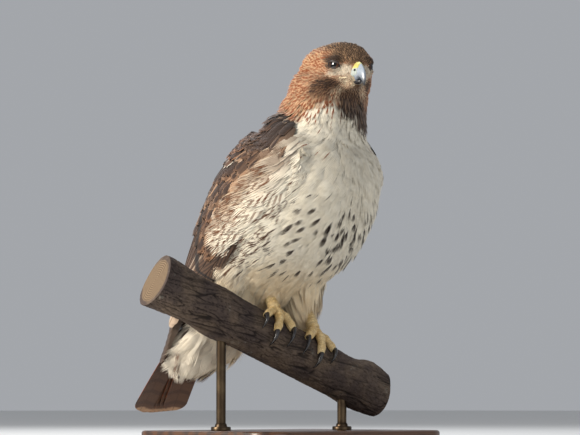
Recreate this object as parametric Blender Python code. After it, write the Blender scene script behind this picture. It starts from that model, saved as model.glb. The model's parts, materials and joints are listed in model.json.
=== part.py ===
"""Red-tailed hawk, life size, perched on a cut length of branch that a plain display stand holds.

Metres, +Z up. The origin is the centre of the stand's underside. The bird faces -Y and its left is +X.
Places on the bird are given as forward, left and up from the perch point, the top of the branch between
the feet. Places on the head are given as ahead, left and up from the middle of the skull.
"""

import math

import bmesh
import bpy
import numpy as np
from mathutils import Matrix, Vector

# Driving sizes
GAP = 0.0003
CLEAR = 0.00038
SLIVER = 0.000002
FLAT_ENOUGH = math.radians(0.6)
PERCH_TOP = 0.126
BASE_SIZE = (0.27, 0.21, 0.016)
BASE_CORNER = 0.03
BASE_EDGE = 0.003
ROD_RADIUS = 0.005
ROD_PLACES = (-0.082, 0.078)
ROD_SIDES = 20

PERCH_RADIUS = 0.0248
PERCH_TURN = math.radians(-15.0)
PERCH_SLOPE = math.radians(23.5)
PERCH_HIGH_END = -0.165
PERCH_LOW_END = 0.128
PERCH_SIDES = 20
PERCH_RINGS = 15
PERCH_PLAIN = 0.056
PERCH_EASE = 0.04
PERCH_WAVE = (0.0016, 0.0012)
PERCH_TAPER = -0.010
PERCH_TAPER_FROM = 0.05
KNOT_PLACE = 0.105
KNOT_LONG = 0.018
KNOT_HIGH = 0.006
GRIP_REACH = 0.030
# The broken twig on the branch: place along it, angle round it, and height over the axis of its two ends
STUB_ROOT = (-0.118, math.radians(-62.0), 0.0099)
STUB_TIP = (-0.134, math.radians(-66.0), 0.0418)
STUB_LINE = ((0.0, 0.0085), (0.5, 0.0075), (0.8, 0.0062), (1.0, 0.0052))
STUB_SIDES = 10

HEAD_CENTRE = (0.079, 0.0, 0.265)
HEAD_TURN = math.radians(25.0)
HEAD_SQUARE = 0.06

EYE_RADIUS = 0.0105
EYE_PLACE = (0.0148, 0.0136, 0.0020)
EYE_AXIS = (0.53, 0.845, 0.04)
EYE_OPENING = 0.0066
LID_RADIUS = 0.0014
LID_SQUASH = 0.92
LID_SINK = 0.0004
LID_STATIONS = 12
LID_SIDES = 5
MOUTH_LINE = ((0.0105, -0.0150), (0.0180, -0.0142), (0.0300, -0.0138))
MOUTH_RADII = (0.0006, 0.0012, 0.0013)
MOUTH_OUT = 0.0003
MOUTH_SIDES = 8
# The brow over each eye: ahead, left, up and radius
BROW = (
    (-0.006, 0.0256, 0.0106, 0.0026),
    (0.006, 0.0248, 0.0098, 0.0038),
    (0.016, 0.0204, 0.0080, 0.0038),
    (0.026, 0.0138, 0.0052, 0.0024),
)

BROW_SIDES = 8

# Sections of the bill: ahead, top, low and half width
CERE_SECTIONS = (
    (0.0230, 0.0026, -0.0125, 0.0095),
    (0.0300, 0.0036, -0.0126, 0.0090),
    (0.0370, 0.0033, -0.0126, 0.0080),
    (0.0415, 0.0021, -0.0122, 0.0070),
    (0.0432, 0.0008, -0.0114, 0.0062),
)
CERE_RIDGE = 0.86
NOSTRIL = (0.0395, -0.0058)
NOSTRIL_LEFTS = (0.0040, 0.0115)
NOSTRIL_RADII = (0.0012, 0.0015)
NOSTRIL_TALL = 1.3
LOWER_BILL_SECTIONS = (
    (0.0180, -0.0140, -0.0215, 0.0105),
    (0.0290, -0.0138, -0.0208, 0.0078),
    (0.0370, -0.0140, -0.0200, 0.0056),
    (0.0425, -0.0152, -0.0190, 0.0038),
    (0.0455, -0.0166, -0.0182, 0.0016),
)
# The upper bill bends round from its start by the hook's turn; its middle line is part of an ellipse
HOOK_TURN = math.radians(100.0)
HOOK_START = (0.0388, -0.0060)
HOOK_REACH = 0.0134
HOOK_DROP = 0.0162
HOOK_TALL = 0.0080
HOOK_HALF = 0.0068
HOOK_POINT = 0.0004
HOOK_RIDGE = 0.75
HOOK_RINGS = 9
HOOK_SIDES = 12
CERE_SIDES = 14
NOSTRIL_SIDES = 8
LOWER_SIDES = 10

TAIL_ROOT = (-0.086, 0.078)
TAIL_TIP = (-0.229, -0.093)
TAIL_FEATHERS = 12
TAIL_FEATHER_HALF = 0.0155
TAIL_STEP_ASIDE = 0.0042
TAIL_PITCH = 0.00148
TAIL_ROOF = math.radians(7.0)
TAIL_THICK = 0.0006
TAIL_CORE = 0.42
TAIL_VANE_ROOT = 0.062
TAIL_PROFILE = (0.42, 0.72, 0.94, 1.0, 0.54)
TAIL_ASIDE_ROOT = (0.0015, 0.0010)
TAIL_ASIDE_TIP = 0.0030
TAIL_SHORTER = 0.010
TAIL_SAG = 0.004
TAIL_LIFT = 0.0030
# The hard core that the tail feathers grow from: half width and half thickness, root first
TAIL_CORE_RINGS = (
    (0.0150, 0.0080),
    (0.0170, 0.0075),
    (0.0190, 0.0070),
    (0.0210, 0.0065),
    (0.0110, 0.0030),
)
TAIL_CORE_DROP = 0.001
TAIL_SIDES = 12
# The feathers under the tail's root: along the tail, below it, half width and half depth
TAIL_COVERT_RINGS = (
    (0.0180, 0.0370, 0.0344, 0.0273),
    (0.0410, 0.0337, 0.0412, 0.0314),
    (0.0640, 0.0303, 0.0438, 0.0320),
    (0.0870, 0.0270, 0.0420, 0.0290),
    (0.1100, 0.0237, 0.0355, 0.0226),
    (0.1330, 0.0203, 0.0245, 0.0138),
    (0.1530, 0.0170, 0.0098, 0.0055),
)

FOOT_ASIDE = 0.023
ANKLE_LIFT = 0.0075
KNEE = (-0.034, 0.030, 0.074)
# Along the shank from the knee, and its radius there
SHANK = ((0.0, 0.0068), (0.35, 0.0056), (0.7, 0.0056), (0.92, 0.0070), (1.0, 0.0072))
# The thigh: forward, left, up and radius; its end follows the branch's slope, lower on the left
THIGH = ((-0.040, 0.038, 0.088, 0.034), (-0.040, 0.037, 0.062, 0.040))
THIGH_ENDS = {
    "left": ((-0.031, 0.034, 0.038, 0.035), (-0.012, 0.0255, 0.020, 0.0140)),
    "right": ((-0.034, 0.032, 0.038, 0.031), (-0.021, 0.027, 0.031, 0.013)),
}
THIGH_SIDES = 16
SHANK_SIDES = 12
TOE_SIDES = 9
CLAW_SIDES = 8
# Toe: turn out along the branch, reach round it in degrees, thick at the root, at the end, claw in degrees
TOES = {
    "inner": (-0.016, 58.0, 0.0052, 0.0040, 42.0),
    "middle": (0.003, 80.0, 0.0052, 0.0038, 36.0),
    "outer": (0.019, 56.0, 0.0046, 0.0036, 32.0),
    "hind": (-0.003, -48.0, 0.0054, 0.0042, -44.0),
}
TOE_STATIONS = 7
TOE_KNUCKLE = 0.0007
TOE_FLATTEN = 0.95
CLAW_STATIONS = 6
CLAW_RADIUS = 0.0030
CLAW_POINT = 0.0005
CLAW_ARCH = 0.0030
CLAW_LIFT = 0.0012
CLAW_SPREAD = 0.10
SIDES = {"left": 1.0, "right": -1.0}

# The torso and neck, tail end first: forward, up, half width, depth to the belly, depth to the back
TORSO_STATIONS = (
    (-0.122, -0.010, 0.016, 0.010, 0.012),
    (-0.100, 0.014, 0.042, 0.034, 0.036),
    (-0.071, 0.048, 0.061, 0.054, 0.056),
    (-0.037, 0.087, 0.075, 0.071, 0.069),
    (0.002, 0.127, 0.082, 0.086, 0.080),
    (0.036, 0.166, 0.073, 0.077, 0.077),
    (0.050, 0.202, 0.050, 0.044, 0.059),
    (0.060, 0.230, 0.0415, 0.037, 0.050),
    (0.068, 0.252, 0.036, 0.028, 0.044),
    (0.072, 0.268, 0.020, 0.014, 0.024),
)
TORSO_RINGS = 22
TORSO_SIDES = 24

# The folded wing's outer form, wrist first: forward, up, half width, depth to the back
WING_STATIONS = (
    (0.055, 0.209, 0.050, 0.053),
    (0.048, 0.196, 0.061, 0.065),
    (0.036, 0.166, 0.079, 0.080),
    (0.002, 0.127, 0.089, 0.085),
    (-0.037, 0.087, 0.084, 0.078),
    (-0.071, 0.048, 0.076, 0.067),
    (-0.100, 0.014, 0.067, 0.053),
    (-0.122, -0.008, 0.060, 0.043),
    (-0.142, -0.026, 0.054, 0.035),
    (-0.160, -0.042, 0.050, 0.030),
)
# For the same stations: upper edge and lower edge in degrees from the back's midline, and thickness
WING_EDGES = (
    (68.0, 100.0, 0.012),
    (44.0, 116.0, 0.018),
    (27.0, 124.0, 0.018),
    (17.0, 118.0, 0.018),
    (12.0, 108.0, 0.018),
    (11.0, 98.0, 0.020),
    (14.0, 90.0, 0.012),
    (24.0, 84.0, 0.007),
    (38.0, 78.0, 0.005),
    (54.0, 70.0, 0.003),
)
WING_ROWS = 10
WING_COLUMNS = 6
WING_SHEET_END = 6.7
WING_SHEET_DROP = 0.0024
WING_RIM_DROP = 0.0012

# Feather vanes. A covert tier is its count, its place at the root and at the tip, and half a vane's width
VANE_THICK = 0.0007
VANE_SEED = 11
COVERT_TIERS = (
    (4, 0.35, 1.60, 0.0140),
    (5, 1.10, 2.50, 0.0175),
    (6, 2.00, 3.50, 0.0170),
    (6, 2.95, 4.70, 0.0160),
)
COVERT_TILT = math.radians(5.0)
COVERT_LIFTS = (-0.0046, 0.0010)
COVERT_PROFILE = (0.75, 1.0, 0.42)
COVERT_BOW = 0.16
COVERT_LOOSE = 0.08
SECONDARIES = 7
SECONDARY_ROOT = 3.7
SECONDARY_TIP = 6.55
SECONDARY_LONGER = 0.75
SECONDARY_LOOSE = 0.05
SECONDARY_HALF = 0.0110
SECONDARY_TILT = math.radians(7.0)
SECONDARY_LIFTS = (-0.0050, 0.0006)
FLIGHT_PROFILE = (0.75, 1.0, 0.92, 0.34)
PRIMARIES = 5
PRIMARY_ROOT = 5.9
PRIMARY_TIP = 7.72
PRIMARY_STEP = 0.30
PRIMARY_DEEP = -0.0038
PRIMARY_PITCH = 0.00115
PRIMARY_HALF = 0.0125

# The head, nape first: ahead, half width, crown height, throat depth
HEAD_STATIONS = (
    (-0.052, 0.004, -0.004, -0.014),
    (-0.047, 0.022, 0.013, -0.030),
    (-0.033, 0.0362, 0.0252, -0.037),
    (-0.015, 0.0348, 0.0292, -0.037),
    (0.001, 0.0296, 0.0292, -0.033),
    (0.014, 0.0240, 0.0240, -0.0265),
    (0.025, 0.0160, 0.0155, -0.0205),
    (0.033, 0.0100, 0.0070, -0.0165),
    (0.037, 0.0040, -0.0010, -0.0110),
)
HEAD_RINGS = 14
HEAD_SIDES = 20


def bird(forward, left, up):
    """A place given from the perch point, in the part's frame."""
    return Vector((left, -forward, PERCH_TOP + up))


def head_frame():
    """The head's own frame: columns ahead, left and up, with its middle as the origin."""
    ahead = Vector((-math.sin(HEAD_TURN), -math.cos(HEAD_TURN), 0.0))
    up = Vector((0.0, 0.0, 1.0))
    left = up.cross(ahead)
    frame = Matrix((ahead, left, up)).transposed().to_4x4()
    frame.translation = bird(*HEAD_CENTRE)
    return frame


def on_head(ahead, left, up):
    """A place given from the middle of the skull, in the part's frame."""
    return head_frame() @ Vector((ahead, left, up))


def curve_value(rows, place):
    """The smooth value at a place counted in rows, by a Catmull-Rom curve."""
    last = len(rows) - 1
    place = min(max(place, 0.0), float(last))
    start = min(int(place), last - 1)
    t = place - start
    a, b, c, d = (np.array(rows[min(max(start + k, 0), last)], float) for k in (-1, 0, 1, 2))
    return 0.5 * (2 * b + (c - a) * t + (2 * a - 5 * b + 4 * c - d) * t**2 + (3 * b - a - 3 * c + d) * t**3)


def clear_scene():
    """Removes every object of the startup file."""
    for item in list(bpy.data.objects):
        bpy.data.objects.remove(item, do_unlink=True)


def material(name, colour, roughness, metallic=0.0):
    """A plain Principled material."""
    made = bpy.data.materials.get(name)
    if made:
        return made
    made = bpy.data.materials.new(name)
    made.use_nodes = True
    shader = made.node_tree.nodes["Principled BSDF"]
    shader.inputs["Base Color"].default_value = (*colour, 1.0)
    shader.inputs["Roughness"].default_value = roughness
    shader.inputs["Metallic"].default_value = metallic
    return made


FINISHES = {
    "body_feathers": ((0.78, 0.70, 0.58), 0.85),
    "head_feathers": ((0.36, 0.20, 0.11), 0.85),
    "wing_feathers": ((0.20, 0.13, 0.09), 0.80),
    "tail_feathers": ((0.34, 0.14, 0.07), 0.75),
    "iris": ((0.06, 0.03, 0.02), 0.15),
    "cere_skin": ((0.75, 0.72, 0.28), 0.50),
    "beak_horn": ((0.20, 0.22, 0.25), 0.35),
    "leg_scales": ((0.80, 0.66, 0.33), 0.55),
    "claw_horn": ((0.02, 0.02, 0.02), 0.30),
    "bark": ((0.13, 0.11, 0.10), 0.90),
    "stand_wood": ((0.10, 0.06, 0.04), 0.40),
    "stand_metal": ((0.10, 0.10, 0.10), 0.35),
}


def add_object(name, mesh, finish=None):
    """Puts a mesh in the scene under its node's name."""
    item = bpy.data.objects.new(name, mesh)
    bpy.context.scene.collection.objects.link(item)
    if finish:
        mesh.materials.clear()
        mesh.materials.append(material(finish, *FINISHES[finish]))
    return item


def mesh_from(bm, name):
    """Turns a bmesh into a mesh with outward faces."""
    bmesh.ops.recalc_face_normals(bm, faces=bm.faces)
    made = bpy.data.meshes.new(name)
    bm.to_mesh(made)
    bm.free()
    return made


def loft(name, rings, finish=None):
    """A closed solid through rings of equal count, with both ends filled."""
    bm = bmesh.new()
    rows = [[bm.verts.new(point) for point in ring] for ring in rings]
    count = len(rows[0])
    for near, far in zip(rows, rows[1:]):
        for k in range(count):
            after = (k + 1) % count
            bm.faces.new((near[k], near[after], far[after], far[k]))
    bm.faces.new(rows[0])
    bm.faces.new(rows[-1])
    bmesh.ops.triangulate(bm, faces=[face for face in bm.faces if len(face.verts) > 4])
    return add_object(name, mesh_from(bm, name), finish)


def tube(name, centres, radii, sides, finish=None, flatten=1.0, upward=Vector((0.0, 0.0, 1.0))):
    """A closed tube through centres, with its own radius at each; flatten squeezes it along upward."""
    rings = []
    for k, centre in enumerate(centres):
        before, after = centres[max(k - 1, 0)], centres[min(k + 1, len(centres) - 1)]
        along = (after - before).normalized()
        side = along.cross(upward).normalized()
        lift = side.cross(along)
        turns = (2 * math.pi * n / sides for n in range(sides))
        rings.append(
            [centre + radii[k] * (math.cos(a) * side + flatten * math.sin(a) * lift) for a in turns]
        )
    return loft(name, rings, finish)


def vane(stations, thick):
    """A thin feather blade. Each station is centre, across, normal and half width."""
    bm = bmesh.new()
    corners = ((-1.0, 0.5), (1.0, 0.5), (-1.0, -0.5), (1.0, -0.5))
    rings = []
    for centre, across, normal, half in stations:
        rings.append(
            [bm.verts.new(centre + across * half * u + normal * thick * level) for u, level in corners]
        )
    for near, far in zip(rings, rings[1:]):
        for a, b in ((0, 1), (2, 3)):
            bm.faces.new((near[a], near[b], far[b]))
            bm.faces.new((near[a], far[b], far[a]))
    for a, b in ((0, 2), (1, 3)):
        for near, far in zip(rings, rings[1:]):
            bm.faces.new((near[a], near[b], far[b], far[a]))
    for ring in (rings[0], rings[-1]):
        bm.faces.new((ring[0], ring[1], ring[3], ring[2]))
    return add_object("vane", mesh_from(bm, "vane"))


def evaluated(item):
    """Replaces an object's mesh by the mesh that its modifiers make."""
    graph = bpy.context.evaluated_depsgraph_get()
    made = bpy.data.meshes.new_from_object(item.evaluated_get(graph))
    item.modifiers.clear()
    old = item.data
    item.data = made
    bpy.data.meshes.remove(old)


def keep_largest(item):
    """Keeps only the largest closed surface of an object."""
    bm = bmesh.new()
    bm.from_mesh(item.data)
    bmesh.ops.dissolve_degenerate(bm, dist=SLIVER, edges=bm.edges)
    bmesh.ops.dissolve_limit(bm, angle_limit=FLAT_ENOUGH, verts=bm.verts, edges=bm.edges)
    bmesh.ops.triangulate(bm, faces=bm.faces)
    groups, seen = [], set()
    for start in bm.faces:
        if start in seen:
            continue
        seen.add(start)
        group, stack = [], [start]
        while stack:
            face = stack.pop()
            group.append(face)
            for edge in face.edges:
                for other in edge.link_faces:
                    if other not in seen:
                        seen.add(other)
                        stack.append(other)
        groups.append(group)

    def volume(group):
        """Signed volume of a closed group of faces."""
        total = 0.0
        for face in group:
            corners = [vert.co for vert in face.verts]
            for b, c in zip(corners[1:], corners[2:]):
                total += corners[0].dot(b.cross(c)) / 6.0
        return total

    groups.sort(key=volume, reverse=True)
    scrap = [face for group in groups[1:] for face in group]
    bmesh.ops.delete(bm, geom=scrap, context="FACES")
    loose = [vert for vert in bm.verts if not vert.link_faces]
    bmesh.ops.delete(bm, geom=loose, context="VERTS")
    bm.to_mesh(item.data)
    bm.free()


def join(item, pieces):
    """Joins closed pieces to an object by one union on their collection, and removes them."""
    group = bpy.data.collections.new(item.name + "_pieces")
    bpy.context.scene.collection.children.link(group)
    for piece in pieces:
        bpy.context.scene.collection.objects.unlink(piece)
        group.objects.link(piece)
    union = item.modifiers.new("union", "BOOLEAN")
    union.operation = "UNION"
    union.operand_type = "COLLECTION"
    union.collection = group
    union.solver = "MANIFOLD"
    evaluated(item)
    for piece in list(group.objects):
        bpy.data.objects.remove(piece, do_unlink=True)
    bpy.data.collections.remove(group)
    keep_largest(item)


def swollen(item, by):
    """A copy of an object with its surface moved outwards."""
    bm = bmesh.new()
    bm.from_mesh(item.data)
    bm.normal_update()
    moves = [vert.normal * by for vert in bm.verts]
    for vert, move in zip(bm.verts, moves):
        vert.co += move
    made = bpy.data.meshes.new(item.name + "_cutter")
    bm.to_mesh(made)
    bm.free()
    return add_object(made.name, made)


def cut(item, cutter):
    """Cuts one closed object from another, and removes the cutter."""
    taken = item.modifiers.new("cut", "BOOLEAN")
    taken.operation = "DIFFERENCE"
    taken.object = cutter
    taken.solver = "MANIFOLD"
    evaluated(item)
    bpy.data.objects.remove(cutter, do_unlink=True)
    keep_largest(item)


def cut_clear(item, neighbour):
    """Cuts an object back so that it meets its neighbour face to face across the gap."""
    cut(item, swollen(neighbour, CLEAR))


# Perch and stand


def perch_axes():
    """Along the branch towards its low end, square to it towards the bird's front, and its upper side."""
    flat = Vector((math.cos(PERCH_TURN), math.sin(PERCH_TURN), 0.0))
    along = flat * math.cos(PERCH_SLOPE) + Vector((0.0, 0.0, -math.sin(PERCH_SLOPE)))
    front = Vector((math.sin(PERCH_TURN), -math.cos(PERCH_TURN), 0.0))
    return along.normalized(), front.normalized(), along.cross(front).normalized() * -1.0


def round_perch(place, angle, radius):
    """A point round the branch: angle 0 is its top, and positive angles come down its front."""
    along, front, top = perch_axes()
    axis = bird(0.0, 0.0, 0.0) - top * PERCH_RADIUS
    return axis + along * place + radius * (math.cos(angle) * top + math.sin(angle) * front)


def perch_swell(place, angle):
    """How far the bark stands out from the plain radius; nothing under the feet."""
    away = min(max((abs(place) - PERCH_PLAIN) / PERCH_EASE, 0.0), 1.0)
    wave = PERCH_WAVE[0] * math.sin(70.0 * place + 2.0 * angle)
    wave += PERCH_WAVE[1] * math.sin(3.0 * angle + 1.0 - 45.0 * place)
    taper = PERCH_TAPER * (place - PERCH_TAPER_FROM)
    knot = KNOT_HIGH * math.exp(-(((place - KNOT_PLACE) / KNOT_LONG) ** 2))
    knot *= max(math.cos(angle + 0.5), 0.0) ** 2
    return away * (wave + taper + knot)


def make_perch():
    """The cut length of branch, its ends sawn square."""
    rings = []
    for k in range(PERCH_RINGS):
        place = PERCH_HIGH_END + (PERCH_LOW_END - PERCH_HIGH_END) * k / (PERCH_RINGS - 1)
        turns = [2 * math.pi * n / PERCH_SIDES for n in range(PERCH_SIDES)]
        rings.append([round_perch(place, a, PERCH_RADIUS + perch_swell(place, a)) for a in turns])
    perch = loft("perch_branch", rings, "bark")
    stub_root, stub_tip = round_perch(*STUB_ROOT), round_perch(*STUB_TIP)
    centres = [stub_root.lerp(stub_tip, t) for t, _ in STUB_LINE]
    join(perch, [tube("stub", centres, [radius for _, radius in STUB_LINE], STUB_SIDES)])
    return perch


def make_stand(perch):
    """A flat base with rounded corners, and two rods up to the branch."""
    bm = bmesh.new()
    bmesh.ops.create_cube(bm, size=1.0)
    bmesh.ops.scale(bm, vec=BASE_SIZE, verts=bm.verts)
    bmesh.ops.translate(bm, vec=(0.0, 0.0, BASE_SIZE[2] / 2), verts=bm.verts)
    upright = [e for e in bm.edges if abs(e.verts[0].co.z - e.verts[1].co.z) > BASE_SIZE[2] / 2]
    bmesh.ops.bevel(
        bm, geom=upright, offset=BASE_CORNER, segments=6, profile=0.5, affect="EDGES", material=-1
    )
    rim = [e for e in bm.edges if min(v.co.z for v in e.verts) > BASE_SIZE[2] * 0.9]
    bmesh.ops.bevel(bm, geom=rim, offset=BASE_EDGE, segments=2, profile=0.5, affect="EDGES", material=-1)
    add_object("stand_base", mesh_from(bm, "stand_base"), "stand_wood")
    for k, place in enumerate(ROD_PLACES):
        top = round_perch(place, 0.0, 0.0)
        foot = Vector((top.x, top.y, BASE_SIZE[2] + GAP))
        rod = tube(
            f"stand_rod_{k + 1}", [foot, top], (ROD_RADIUS, ROD_RADIUS), ROD_SIDES, "stand_metal",
            upward=Vector((0.0, 1.0, 0.0)),
        )
        cut_clear(rod, perch)


# Body


class Form:
    """A smooth body form round a curved middle line in the bird's middle plane."""

    def __init__(self, stations, headwards=1.0):
        self.stations = stations
        self.headwards = headwards
        self.last = len(stations) - 1

    def frame(self, place):
        """Centre, direction along the line, and the direction of the back."""
        here = curve_value(self.stations, place)
        step = 0.05
        low, high = (curve_value(self.stations, place + d) for d in (-step, step))
        forward, up = high[0] - low[0], high[1] - low[1]
        size = math.hypot(forward, up)
        forward, up = self.headwards * forward / size, self.headwards * up / size
        centre = bird(here[0], 0.0, here[1])
        return centre, Vector((0.0, -forward, up)), Vector((0.0, up, forward))

    def point(self, place, angle, lift=0.0):
        """A surface point; angle 0 is the back's midline and positive angles go to the bird's left."""
        here = curve_value(self.stations, place)
        centre, _, back = self.frame(place)
        depth = here[-1] if math.cos(angle) > 0 else here[-2]
        across = Vector((1.0, 0.0, 0.0))
        return centre + back * (depth + lift) * math.cos(angle) + across * (here[2] + lift) * math.sin(angle)


TORSO = Form(TORSO_STATIONS)
WING = Form(WING_STATIONS, headwards=-1.0)


def wing_edges(place):
    """Upper edge and lower edge of the wing in degrees from the back's midline, and its thickness."""
    return curve_value(WING_EDGES, place)


def make_torso():
    """Torso and neck as one form; the neck is parted from it by a thin cut."""
    rings = []
    for k in range(TORSO_RINGS):
        place = TORSO.last * k / (TORSO_RINGS - 1)
        turns = [2 * math.pi * n / TORSO_SIDES for n in range(TORSO_SIDES)]
        rings.append([TORSO.point(place, a) for a in turns])
    return loft("torso", rings, "body_feathers")


def half_space(place, headwards, size=0.4):
    """A large block whose face lies across the torso's middle line at a place."""
    centre, along, back = TORSO.frame(place)
    if not headwards:
        along = -along
    bm = bmesh.new()
    bmesh.ops.create_cube(bm, size=size)
    across = along.cross(back)
    turn = Matrix((along, back, across)).transposed().to_4x4()
    turn.translation = centre + along * (size / 2 - GAP / 2)
    bmesh.ops.transform(bm, matrix=turn, verts=bm.verts)
    return add_object("block", mesh_from(bm, "block"))


def part_neck(torso, place=6.35):
    """Parts the neck from the torso with a thin cut across the middle line."""
    neck = add_object("neck", torso.data.copy(), "head_feathers")
    cut(torso, half_space(place, True))
    cut(neck, half_space(place, False))
    return neck


def make_head():
    """Skull and face with brows and lids, its eyes' places cut out."""
    rings = []
    for k in range(HEAD_RINGS):
        place = (len(HEAD_STATIONS) - 1) * k / (HEAD_RINGS - 1)
        ahead, half, crown, throat = curve_value(HEAD_STATIONS, place)
        middle, tall = (crown + throat) / 2, (crown - throat) / 2
        ring = []
        for n in range(HEAD_SIDES):
            a = 2 * math.pi * n / HEAD_SIDES
            squared = 1.0 + HEAD_SQUARE * math.sin(2 * a) ** 2
            ring.append(on_head(ahead, half * squared * math.sin(a), middle + tall * squared * math.cos(a)))
        rings.append(ring)
    head = loft("head", rings, "head_feathers")
    pieces = []
    for side in SIDES.values():
        centres = [on_head(ahead, side * left, up) for ahead, left, up, _ in BROW]
        pieces.append(tube("brow", centres, [radius for _, _, _, radius in BROW], BROW_SIDES))
        pieces.append(make_lid(side))
    join(head, pieces)
    return head


def eye_parts(side):
    """Centre of an eyeball and the way that it looks."""
    place = on_head(EYE_PLACE[0], side * EYE_PLACE[1], EYE_PLACE[2])
    axis = head_frame().to_3x3() @ Vector((EYE_AXIS[0], side * EYE_AXIS[1], EYE_AXIS[2]))
    return place, axis.normalized()


def make_lid(side):
    """The ring of lid round an eye's opening."""
    place, axis = eye_parts(side)
    up = Vector((0.0, 0.0, 1.0))
    across = axis.cross(up).normalized()
    lift = across.cross(axis)
    reach = math.sqrt(EYE_RADIUS**2 - EYE_OPENING**2)
    bm = bmesh.new()
    rows = []
    for k in range(LID_STATIONS):
        a = 2 * math.pi * k / LID_STATIONS
        out = across * math.cos(a) + lift * math.sin(a) * LID_SQUASH
        middle = place + axis * (reach - LID_SINK) + out * EYE_OPENING
        turns = (2 * math.pi * n / LID_SIDES for n in range(LID_SIDES))
        rows.append(
            [bm.verts.new(middle + LID_RADIUS * (math.cos(t) * out + math.sin(t) * axis)) for t in turns]
        )
    for k in range(LID_STATIONS):
        near, far = rows[k], rows[(k + 1) % LID_STATIONS]
        for n in range(LID_SIDES):
            after = (n + 1) % LID_SIDES
            bm.faces.new((near[n], near[after], far[after], far[n]))
    return add_object("lid", mesh_from(bm, "lid"))


def head_width(ahead, up):
    """Half the head's width at a height, from its own sections."""
    places = np.linspace(0.0, len(HEAD_STATIONS) - 1.0, 81)
    rows = np.array([curve_value(HEAD_STATIONS, place) for place in places])
    _, half, crown, throat = rows[np.argmin(abs(rows[:, 0] - ahead))]
    share = (up - (crown + throat) / 2) / ((crown - throat) / 2)
    return half * math.sqrt(max(1.0 - share**2, 0.04))


def cut_mouth(head):
    """The line of the mouth, from the bill's corner back to below the eye."""
    for side in SIDES.values():
        line = []
        for ahead, up in MOUTH_LINE:
            line.append(on_head(ahead, side * (head_width(ahead, up) + MOUTH_OUT), up))
        cut(head, tube("mouth", line, MOUTH_RADII, MOUTH_SIDES))


def make_eyes(head):
    """The two eyeballs, and their sockets in the head."""
    for name, side in SIDES.items():
        place, _ = eye_parts(side)
        bm = bmesh.new()
        bmesh.ops.create_uvsphere(
            bm, u_segments=16, v_segments=9, radius=EYE_RADIUS, matrix=Matrix.Translation(place)
        )
        eye = add_object("eye_" + name, mesh_from(bm, "eye_" + name), "iris")
        eye.data.shade_smooth()
        cut_clear(head, eye)


# Bill


def bill_ring(ahead, top, low, half, sides, ridge=1.0):
    """One section of the bill, square to the head's forward line."""
    middle, tall = (top + low) / 2, (top - low) / 2
    ring = []
    for n in range(sides):
        a = 2 * math.pi * n / sides
        narrow = 1.0 - (1.0 - ridge) * max(math.cos(a), 0.0)
        ring.append(on_head(ahead, half * narrow * math.sin(a), middle + tall * math.cos(a)))
    return ring


def make_bill(head):
    """Cere with its nostrils, upper bill with its hook, and lower bill."""
    rings = [bill_ring(*section, CERE_SIDES, CERE_RIDGE) for section in CERE_SECTIONS]
    cere = loft("cere", rings, "cere_skin")
    cut_clear(cere, head)
    for side in SIDES.values():
        hole = [on_head(NOSTRIL[0], side * left, NOSTRIL[1]) for left in NOSTRIL_LEFTS]
        cut(cere, tube("nostril", hole, NOSTRIL_RADII, NOSTRIL_SIDES, flatten=NOSTRIL_TALL))
    upper = loft("bill_upper", [hook_ring(n / (HOOK_RINGS - 1)) for n in range(HOOK_RINGS)], "beak_horn")
    cut_clear(upper, cere)
    rings = [bill_ring(*section, LOWER_SIDES) for section in LOWER_BILL_SECTIONS]
    lower = loft("bill_lower", rings, "beak_horn")
    for neighbour in (head, cere, upper):
        cut_clear(lower, neighbour)


def hook_ring(t):
    """A section of the upper bill: t runs from the cere, 0, round the curve to the hook's tip, 1."""
    turn = HOOK_TURN * t**1.25
    ahead = HOOK_START[0] + HOOK_REACH * math.sin(turn)
    up = HOOK_START[1] - HOOK_DROP * (1.0 - math.cos(turn))
    tall = HOOK_TALL * (1.0 - t) ** 0.75 + HOOK_POINT
    half = HOOK_HALF * (1.0 - t) ** 0.62 + HOOK_POINT
    ring = []
    for n in range(HOOK_SIDES):
        a = 2 * math.pi * n / HOOK_SIDES
        narrow = 1.0 - (1.0 - HOOK_RIDGE) * max(math.cos(a), 0.0)
        lift = tall * math.cos(a)
        ring.append(
            on_head(ahead + lift * math.sin(turn), half * narrow * math.sin(a), up + lift * math.cos(turn))
        )
    return ring


# Wings


def wing_sheet(side, name):
    """The folded wing's flesh, a shell over the torso's flank."""
    outer, inner = [], []
    for r in range(WING_ROWS):
        place = WING_SHEET_END * r / (WING_ROWS - 1)
        upper, lower, thick = wing_edges(place)
        top_row, low_row = [], []
        for c in range(WING_COLUMNS):
            u = c / (WING_COLUMNS - 1)
            angle = side * math.radians(upper + (lower - upper) * u)
            rim = WING_RIM_DROP if c in (0, WING_COLUMNS - 1) else 0.0
            top_row.append(WING.point(place, angle, -WING_SHEET_DROP - rim))
            low_row.append(WING.point(place, angle, -thick))
        outer.append(top_row)
        inner.append(low_row)
    return slab(name, outer, inner, "wing_feathers")


def slab(name, outer, inner, finish):
    """A closed solid between two grids of points of equal size."""
    bm = bmesh.new()
    grids = [[[bm.verts.new(point) for point in row] for row in grid] for grid in (outer, inner)]
    rows, columns = len(outer), len(outer[0])
    for grid in grids:
        for r in range(rows - 1):
            for c in range(columns - 1):
                a, b = grid[r][c], grid[r][c + 1]
                d, e = grid[r + 1][c], grid[r + 1][c + 1]
                bm.faces.new((a, b, e))
                bm.faces.new((a, e, d))
    rim = [(0, c) for c in range(columns)] + [(r, columns - 1) for r in range(1, rows)]
    rim += [(rows - 1, c) for c in range(columns - 2, -1, -1)] + [(r, 0) for r in range(rows - 2, 0, -1)]
    for (r, c), (s, d) in zip(rim, rim[1:] + rim[:1]):
        bm.faces.new((grids[0][r][c], grids[0][s][d], grids[1][s][d], grids[1][r][c]))
    return add_object(name, mesh_from(bm, name), finish)


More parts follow.
